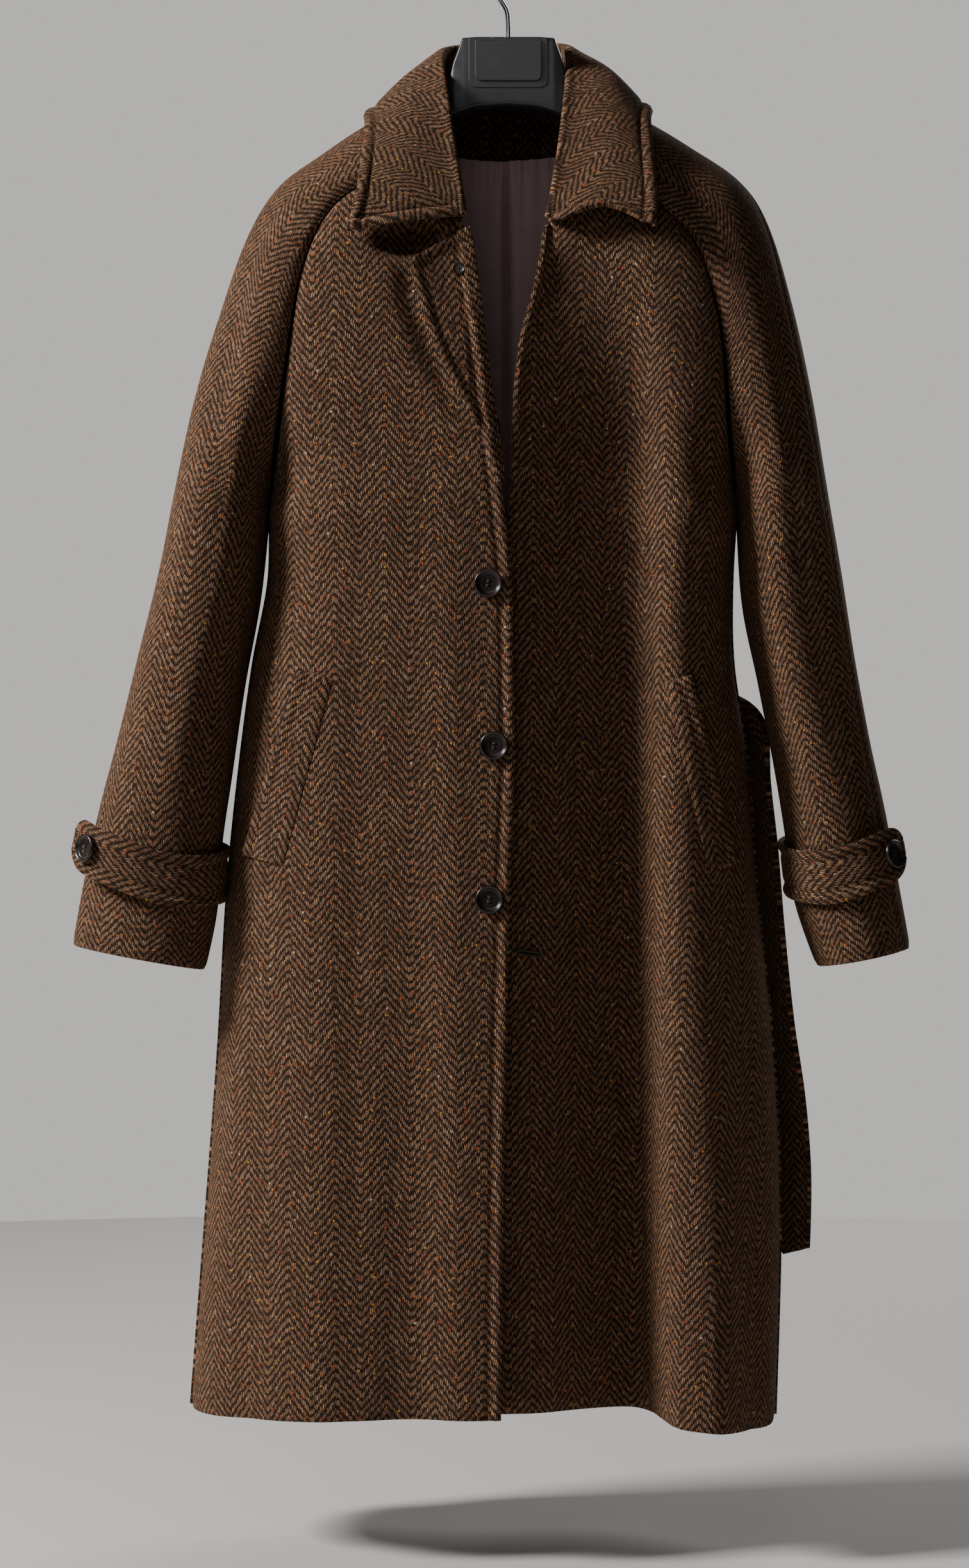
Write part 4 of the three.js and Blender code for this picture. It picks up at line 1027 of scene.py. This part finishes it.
def makeStrap(side):
    strap = straps[side]
    count = 150
    even = np.linspace(0, 1, count)
    tip = 0.84 + 0.16 * np.sin((even - 0.7) / 0.3 * np.pi / 2)
    shares = np.where(even < 0.7, even * 1.2, tip)
    rounds = mix(strap["from"], strap["to"], shares)
    roundAt, across = np.meshgrid(rounds, np.linspace(-1, 1, 25), indexing="ij")
    share = (roundAt - strap["from"]) / (strap["to"] - strap["from"])
    middle = along([[v] for v in strap["levels"]], share * 3)[..., 0]
    front = sleevePoint(side, middle, np.full_like(middle, 0.0))
    under = sleevePoint(side, middle, np.full_like(middle, -1.0))
    width = np.linalg.norm(front - under, axis=-1) / 2
    left = (strap["to"] - roundAt) * np.pi * width / (strapWidth / 2)
    near = np.clip(left, 0.03, 1)
    half = strapWidth / 2 / levelLength * np.sqrt(1 - (1 - near) ** 2)
    points = sleevePoint(side, middle + half * across, roundAt)
    sign = 1 if side == "left" else -1
    normals = normalsOf(points, -sign)
    rise = np.clip((roundAt + 0.62) / 0.42, 0, 1)
    lift = 1.2 + strap["off"] * rise * rise * (3 - 2 * rise) + doubledThickness
    edge = np.abs(across) * half * levelLength
    fromEdge = np.maximum(half * levelLength - edge, 0)
    lift = lift + 0.7 * rolledEdge(fromEdge) * (half * levelLength > 12)
    down = runningLength(points, 0)[:, 12:13] + 0 * across
    points = points + normals * lift[..., None]
    uv = np.stack([across * half * levelLength + weave["stripe"] / 2, down], -1)
    piece = clothPiece(
        side + "_cuff_strap_cloth", points, uv, side == "left", doubledThickness, tweed
    )
    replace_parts(piece, side + "_cuff_strap")


for side in ("right", "left"):
    makeStrap(side)
print("cuff straps made")

# Belt: rows give the middle line and the way its width lies, at both hanging ends
beltStart = [
    [-250, 94, -1150, -0.7, -0.7, 0], [-243, 92, -1040, -0.7, -0.7, 0],
    [-237, 90, -930, -0.7, -0.7, 0], [-233, 88, -845, -0.7, -0.7, 0],
    [-229, 84, -785, -0.68, -0.68, 0.15], [-226, 76, -735, -0.35, -0.45, 0.8],
]
beltEnd = [
    [219, 36, -706, 0.3, -0.5, 0.75], [225, 28, -746, 0.3, -0.95, 0.05],
    [230, 26, -805, 0.36, -0.93, 0], [236, 30, -880, 0.38, -0.92, 0],
    [243, 34, -960, 0.45, -0.89, 0], [250, 37, -1030, 0.6, -0.8, 0],
    [252, 38, -1100, 0.75, -0.66, 0], [250, 40, -1172, 0.8, -0.6, 0],
]
beltCrossing = {"from": 0.115, "to": 0.89, "rows": 11, "level": 9.53, "sag": 0.1, "clear": 4.4}
beltPoint = 34


# The frame of the back at a share across, at the belt's level: place, down and outward.
def atWaist(t):
    level = beltCrossing["level"] + beltCrossing["sag"] * np.sin(np.pi * t)
    place = backPoint(level, t)
    down = unit(backPoint(level + 0.1, t) - place)
    across = unit(backPoint(level, t + 0.01) - backPoint(level, t - 0.01))
    return place, down, unit(np.cross(across, down))


def makeBelt():
    t = np.linspace(beltCrossing["from"], beltCrossing["to"], beltCrossing["rows"])
    place, down, out = atWaist(t)
    crossing = np.concatenate([place + out * beltCrossing["clear"], -down], axis=1)
    route = np.concatenate([beltStart, crossing, beltEnd])
    last = len(route) - 1
    place, across = np.meshgrid(np.linspace(0, last, 420), np.linspace(-1, 1, 21), indexing="ij")
    row = along(route, place)
    points = row[..., :3] + unit(row[..., 3:]) * (beltWidth / 2 * across)[..., None]
    end = np.maximum(place - (last - 1), 0)
    points[..., 2] += end**3 * beltPoint * np.maximum(-across, 0.2 * across)
    normals = normalsOf(points, -1)
    fromEdge = (1 - np.abs(across)) * beltWidth / 2
    down = runningLength(points, 0)[:, 10:11] + 0 * across
    points = points + normals * (0.5 * rolledEdge(fromEdge))[..., None]
    uv = np.stack([across * beltWidth / 2 + weave["stripe"] / 2, down], -1)
    piece = clothPiece("belt_cloth", points, uv, False, doubledThickness, tweed, 0)
    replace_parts(piece, "belt")


loopForm = {"width": 10, "cloth": 2.5, "foot": 8, "room": 3, "reach": 9}
loopPlaces = {"right": 0.155, "left": 0.845}


# A belt loop: a narrow strip that bridges the belt, sewn down above and below it.
def makeLoop(side):
    place, down, out = (v[0] for v in atWaist(np.array([loopPlaces[side]])))
    inside = beltWidth / 2 + loopForm["room"]
    tall = inside + loopForm["cloth"] + loopForm["foot"]
    reach = loopForm["reach"] + loopForm["cloth"]
    upper = [[3, tall], [3.2, inside + 3], [reach, inside - 1]]
    corners = upper + [[reach, 0]] + [[outAt, -upAt] for outAt, upAt in reversed(upper)]
    line = along(corners, np.linspace(0, 6, 60))
    widthWay = np.cross(out, down)
    across = np.linspace(-0.5, 0.5, 9) * loopForm["width"]
    points = place + line[:, None, :1] * out - line[:, None, 1:] * down
    points = points + across[None, :, None] * widthWay
    uv = np.stack(np.broadcast_arrays(across[None, :] + 11, line[:, 1:]), -1)
    name = side + "_belt_loop"
    piece = clothPiece(name + "_cloth", points, uv, True, loopForm["cloth"], tweed)
    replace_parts(piece, name)


makeBelt()
for side in ("right", "left"):
    makeLoop(side)
print("belt made")


# The middle, the outward axis and the size of a round solid, from its points.
def discFrame(name):
    co = np.array([v.co[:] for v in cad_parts[name].data.vertices])
    centre = (co.min(0) + co.max(0)) / 2
    axes = np.linalg.svd(co - co.mean(0))[2]
    axis = axes[2]
    heights = (co - centre) @ axis
    wide = np.linalg.norm((co - centre) - heights[:, None] * axis, axis=1)
    if heights[wide > wide.max() * 0.85].mean() < 0:
        axis = -axis
    return centre, axis, wide.max(), heights.min(), heights.max()


# A horn button: a dished face inside a rounded rim, with four holes.
def makeButton(name):
    centre, axis, radius, low, high = discFrame(name)
    side = unit(np.cross(axis, [0.2, 0.1, 1.0]))
    up = np.cross(axis, side)
    tall = high - low
    r = np.concatenate([[0.001], np.linspace(0.04, 0.6, 26), np.linspace(0.63, 1, 14)])
    top = np.interp(r, [0, 0.6, 0.7, 0.8, 0.9, 0.97, 1], [0.52, 0.5, 0.56, 0.86, 1, 0.86, 0.62])
    profile = [(a, h) for a, h in zip(r, top)]
    profile += [(1.0, 0.4), (0.95, 0.2), (0.8, 0.06), (0.5, 0.0), (0.001, 0.0)]
    profile = np.array(profile)
    angle = np.linspace(0, 2 * np.pi, 97)
    rr, aa = np.meshgrid(profile[:, 0], angle, indexing="ij")
    hh = np.repeat(profile[:, 1:], len(angle), axis=1)
    x, y = rr * np.cos(aa), rr * np.sin(aa)
    face = (np.arange(len(profile)) < len(r))[:, None]
    for hx in (-0.15, 0.15):
        for hy in (-0.15, 0.15):
            hh = hh - 0.34 * bell(np.hypot(x - hx, y - hy), 0.075) * face
    x, y = x[..., None] * radius, y[..., None] * radius
    points = centre + (low + hh * tall)[..., None] * axis + x * side + y * up
    uv = np.stack([rr, aa], -1)
    mesh = netMesh(name + "_horn", points / mm, uv, True)
    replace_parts(plainPiece(name + "_horn", mesh, horn), name)
    makeStitches(name, centre + (low + 0.56 * tall) * axis, axis, side, up, radius)


# The thread through a button's holes: two pairs of strands.
def makeStitches(name, place, axis, side, up, radius):
    t = np.linspace(-1, 1, 7)[:, None]
    lines = []
    for row in (-0.15, 0.15):
        for shift in (-0.03, 0.03):
            line = place + up * (row + shift) * radius + side * 0.15 * t * radius
            lines.append(line + axis * radius * (0.07 * (1 - t * t) - 0.05 * t**4))
    roundWire(name + "_thread", lines, 0.035 * radius, thread)


# The worked buttonhole that shows on the left front: its middle, half length and half
# height in mm, its tilt in degrees and its thread's radius
buttonhole = {"x": 17, "z": -894, "half": 11, "high": 1.3, "tilt": 9, "thread": 0.9}


# A buttonhole: a slit of painted shade, a near-black sheet with a rim of close thread, laid on the
# left front.
def makeButtonhole():
    form = buttonhole
    angle = np.linspace(0, 2 * np.pi, 49)
    reach = form["half"] * np.sign(np.cos(angle)) * np.abs(np.cos(angle)) ** 0.5
    tilt = math.radians(form["tilt"])

    def laid(across, up, lift):
        x = form["x"] + across * math.cos(tilt) + up * math.sin(tilt)
        z = form["z"] - across * math.sin(tilt) + up * math.cos(tilt)
        place, normal = onPanel("left_front", x, z)
        return place + normal * lift

    lengthwise, high = np.meshgrid(np.linspace(-1, 1, 21), np.linspace(-1, 1, 5), indexing="ij")
    slit = laid(lengthwise * form["half"], high * form["high"], 0.9)
    uv = np.stack([lengthwise * form["half"], high * form["high"]], -1)
    # The slit is a near-black sheet of painted shade.
    clothPiece("left_buttonhole_slit_shade", slit, uv, False, 0.4, openingShade, 0)
    rim = laid(reach, (form["high"] + 0.5) * np.sin(angle), 1.1)
    radius = form["thread"] * mm
    roundWire("left_buttonhole_thread", [rim[:-1] * mm], radius, thread, 3, closed=True)


makeButtonhole()
buttonNames = ["front_button_%d" % i for i in range(1, 6)]
for name in buttonNames + ["right_cuff_button", "left_cuff_button"]:
    makeButton(name)
print("buttons made")

# Hanger: x, top, bottom, front, back and corner radius of its sections
hangerRows = [
    [0, -82, -143, -22, 22, 4], [28, -82, -145, -22, 22, 4], [41, -83, -149, -22, 22, 4],
    [49, -104, -152, -21, 21, 5], [55, -129, -156, -19, 20, 6], [58, -141, -159, -16, 20, 8],
    [66, -143.5, -163, -14, 22, 9],
    [90, -150, -176, -17, 26, 13], [118, -159, -189, -19, 28, 15],
    [150, -178.5, -208, -22, 27, 15], [180, -200.5, -226, -23, 22, 13],
    [200, -217, -238, -22, 18, 11], [209, -227, -240, -16, 12, 6],
]


# Rounded sections of the hanger, closed at both ends.
def makeHangerBody():
    rows = np.array(hangerRows, float)
    rows = np.concatenate([rows[:0:-1] * [-1, 1, 1, 1, 1, 1], rows])
    fine = []
    for a, b in zip(rows[:-1], rows[1:]):
        for t in np.linspace(0, 1, 6)[:-1]:
            fine.append(mix(a, b, t))
    fine = np.array(fine + [rows[-1]])
    corner = np.array([(q * 90 + 90 * k / 6, q) for q in range(4) for k in range(7)])
    angle, quarter = np.radians(corner[:, 0]), corner[:, 1].astype(int)
    signY = np.array([1, -1, -1, 1])[quarter]
    signZ = np.array([1, 1, -1, -1])[quarter]
    x, top, bottom, front, back, radius = (fine[:, i : i + 1] for i in range(6))
    y = (front + back) / 2 + signY * ((back - front) / 2 - radius) + radius * np.cos(angle)
    z = (top + bottom) / 2 + signZ * ((top - bottom) / 2 - radius) + radius * np.sin(angle)
    points = np.stack([np.broadcast_to(x, y.shape), y, z], -1)
    points = np.concatenate([points, points[:, :1]], axis=1)
    ends = [points[:1].mean(1, keepdims=True), points[-1:].mean(1, keepdims=True)]
    caps = [np.broadcast_to(end, (1, points.shape[1], 3)) for end in ends]
    points = np.concatenate([caps[0], points, caps[1]])
    mesh = netMesh("hanger_body_plastic", points, points[..., :2], True)
    piece = plainPiece("hanger_body_plastic", mesh, plastic)
    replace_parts(piece, "hanger_body")


# A flat plate with rounded foot corners, given its half width, top, foot, depth and back.
def makePlate(name, half, top, foot, radius, back, depth, soft):
    outline = [(-half, top)]
    for cx, start in ((-half + radius, 180), (half - radius, 270)):
        for k in range(9):
            a = math.radians(start + 90 * k / 8)
            outline.append((cx + radius * math.cos(a), foot + radius + radius * math.sin(a)))
    outline.append((half, top))
    verts = [(x * mm, y * mm, z * mm) for y in (back, back - depth) for x, z in outline]
    n = len(outline)
    faces = [list(range(n))[::-1], list(range(n, 2 * n))]
    faces += [[i, (i + 1) % n, n + (i + 1) % n, n + i] for i in range(n)]
    mesh = bpy.data.meshes.new(name)
    mesh.from_pydata(verts, [], faces)
    mesh.update()
    piece = bpy.data.objects.new(name, mesh)
    bpy.context.scene.collection.objects.link(piece)
    soften = piece.modifiers.new("rounded edges", "BEVEL")
    soften.width = soft * mm
    soften.segments = 3
    piece.data.materials.append(plastic)
    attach(piece, "root")
    return piece


def makeHook():
    stops = [[0, 0, -83], [0, 0, -68], [-2, 0, -54], [-12, 0, -39]]
    for angle in range(205, -36, -24):
        a = math.radians(angle)
        stops.append([hookRadius * math.cos(a), 0, -18 + hookRadius * math.sin(a)])
    line = along(stops, np.linspace(0, len(stops) - 1, 140))
    radius = hookWire / 2 * mm
    piece = roundWire("hanger_hook_wire", [line * mm], radius, chrome, 5, capped=True)
    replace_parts(piece, "hanger_hook")


makeHangerBody()
makePlate("hanger_frame_plastic", 35.2, -83.8, -128, 7, -21.4, 1.4, 0.7)
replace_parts(makePlate("hanger_plate_plastic", 29.5, -86, -122, 5, -22.5, 2.0, 0.7), "hanger_plate")
makeHook()
print("hanger made")


# The studio: camera, a round pale floor, three soft lights and a plain pale surround.
# A light aims at the middle of the coat, at a height.
studio = {"floor": -1.42, "radius": 2.7, "surround": "cbc9c5", "dim": 0.035}
lights = [
    {"name": "key", "place": (-2.65, -0.95, 1.1), "aim": -0.45, "size": 0.8, "power": 185},
    {"name": "fill", "place": (-0.6, -3.4, 0.9), "aim": -0.5, "size": 1.6, "power": 10},
    {"name": "back", "place": (1.3, 3.3, 1.0), "aim": -0.7, "size": 2.0, "power": 70},
]


def makeCamera():
    camera = bpy.data.cameras.new("camera")
    camera.lens = 92.4
    camera.sensor_width = 36
    camera.sensor_fit = "AUTO"
    holder = bpy.data.objects.new("camera", camera)
    holder.location = (-0.0212, -3.6, -0.747)
    holder.rotation_euler = (math.radians(90), 0, 0)
    bpy.context.scene.collection.objects.link(holder)
    bpy.context.scene.camera = holder


def makeFloor():
    material, tree, shader = newMaterial("studio_floor")
    shader.inputs["Base Color"].default_value = linear("c9c6c1")
    shader.inputs["Roughness"].default_value = 0.9
    angle = np.linspace(0, 2 * np.pi, 97)[:-1]
    x, y = studio["radius"] * np.cos(angle), studio["radius"] * np.sin(angle)
    corners = np.stack([x, y, np.full(len(angle), studio["floor"])], -1)
    mesh = bpy.data.meshes.new("floor")
    mesh.from_pydata(corners.tolist(), [], [list(range(len(angle)))])
    floor = bpy.data.objects.new("floor", mesh)
    floor.data.materials.append(material)
    bpy.context.scene.collection.objects.link(floor)


# The surround looks pale to the camera and gives the coat only a dim light.
def makeSurround():
    world = bpy.data.worlds.new("studio")
    world.use_nodes = True
    tree = world.node_tree
    tree.nodes.clear()
    seen = add(tree, "ShaderNodeLightPath").outputs["Is Camera Ray"]
    pale = add(tree, "ShaderNodeBackground")
    pale.inputs[0].default_value = linear(studio["surround"])
    dim = add(tree, "ShaderNodeBackground")
    dim.inputs[0].default_value = (0.9, 0.93, 1, 1)
    dim.inputs[1].default_value = studio["dim"]
    both = add(tree, "ShaderNodeMixShader")
    output = add(tree, "ShaderNodeOutputWorld")
    tree.links.new(seen, both.inputs[0])
    tree.links.new(dim.outputs[0], both.inputs[1])
    tree.links.new(pale.outputs[0], both.inputs[2])
    tree.links.new(both.outputs[0], output.inputs[0])
    bpy.context.scene.world = world


def makeLights():
    for row in lights:
        lamp = bpy.data.lights.new(row["name"], "AREA")
        lamp.size = row["size"]
        lamp.energy = row["power"]
        holder = bpy.data.objects.new(row["name"], lamp)
        holder.location = row["place"]
        look = Vector((0, 0, row["aim"])) - Vector(row["place"])
        holder.rotation_euler = look.to_track_quat("-Z", "Y").to_euler()
        bpy.context.scene.collection.objects.link(holder)


makeCamera()
makeFloor()
makeSurround()
makeLights()
print("studio made")
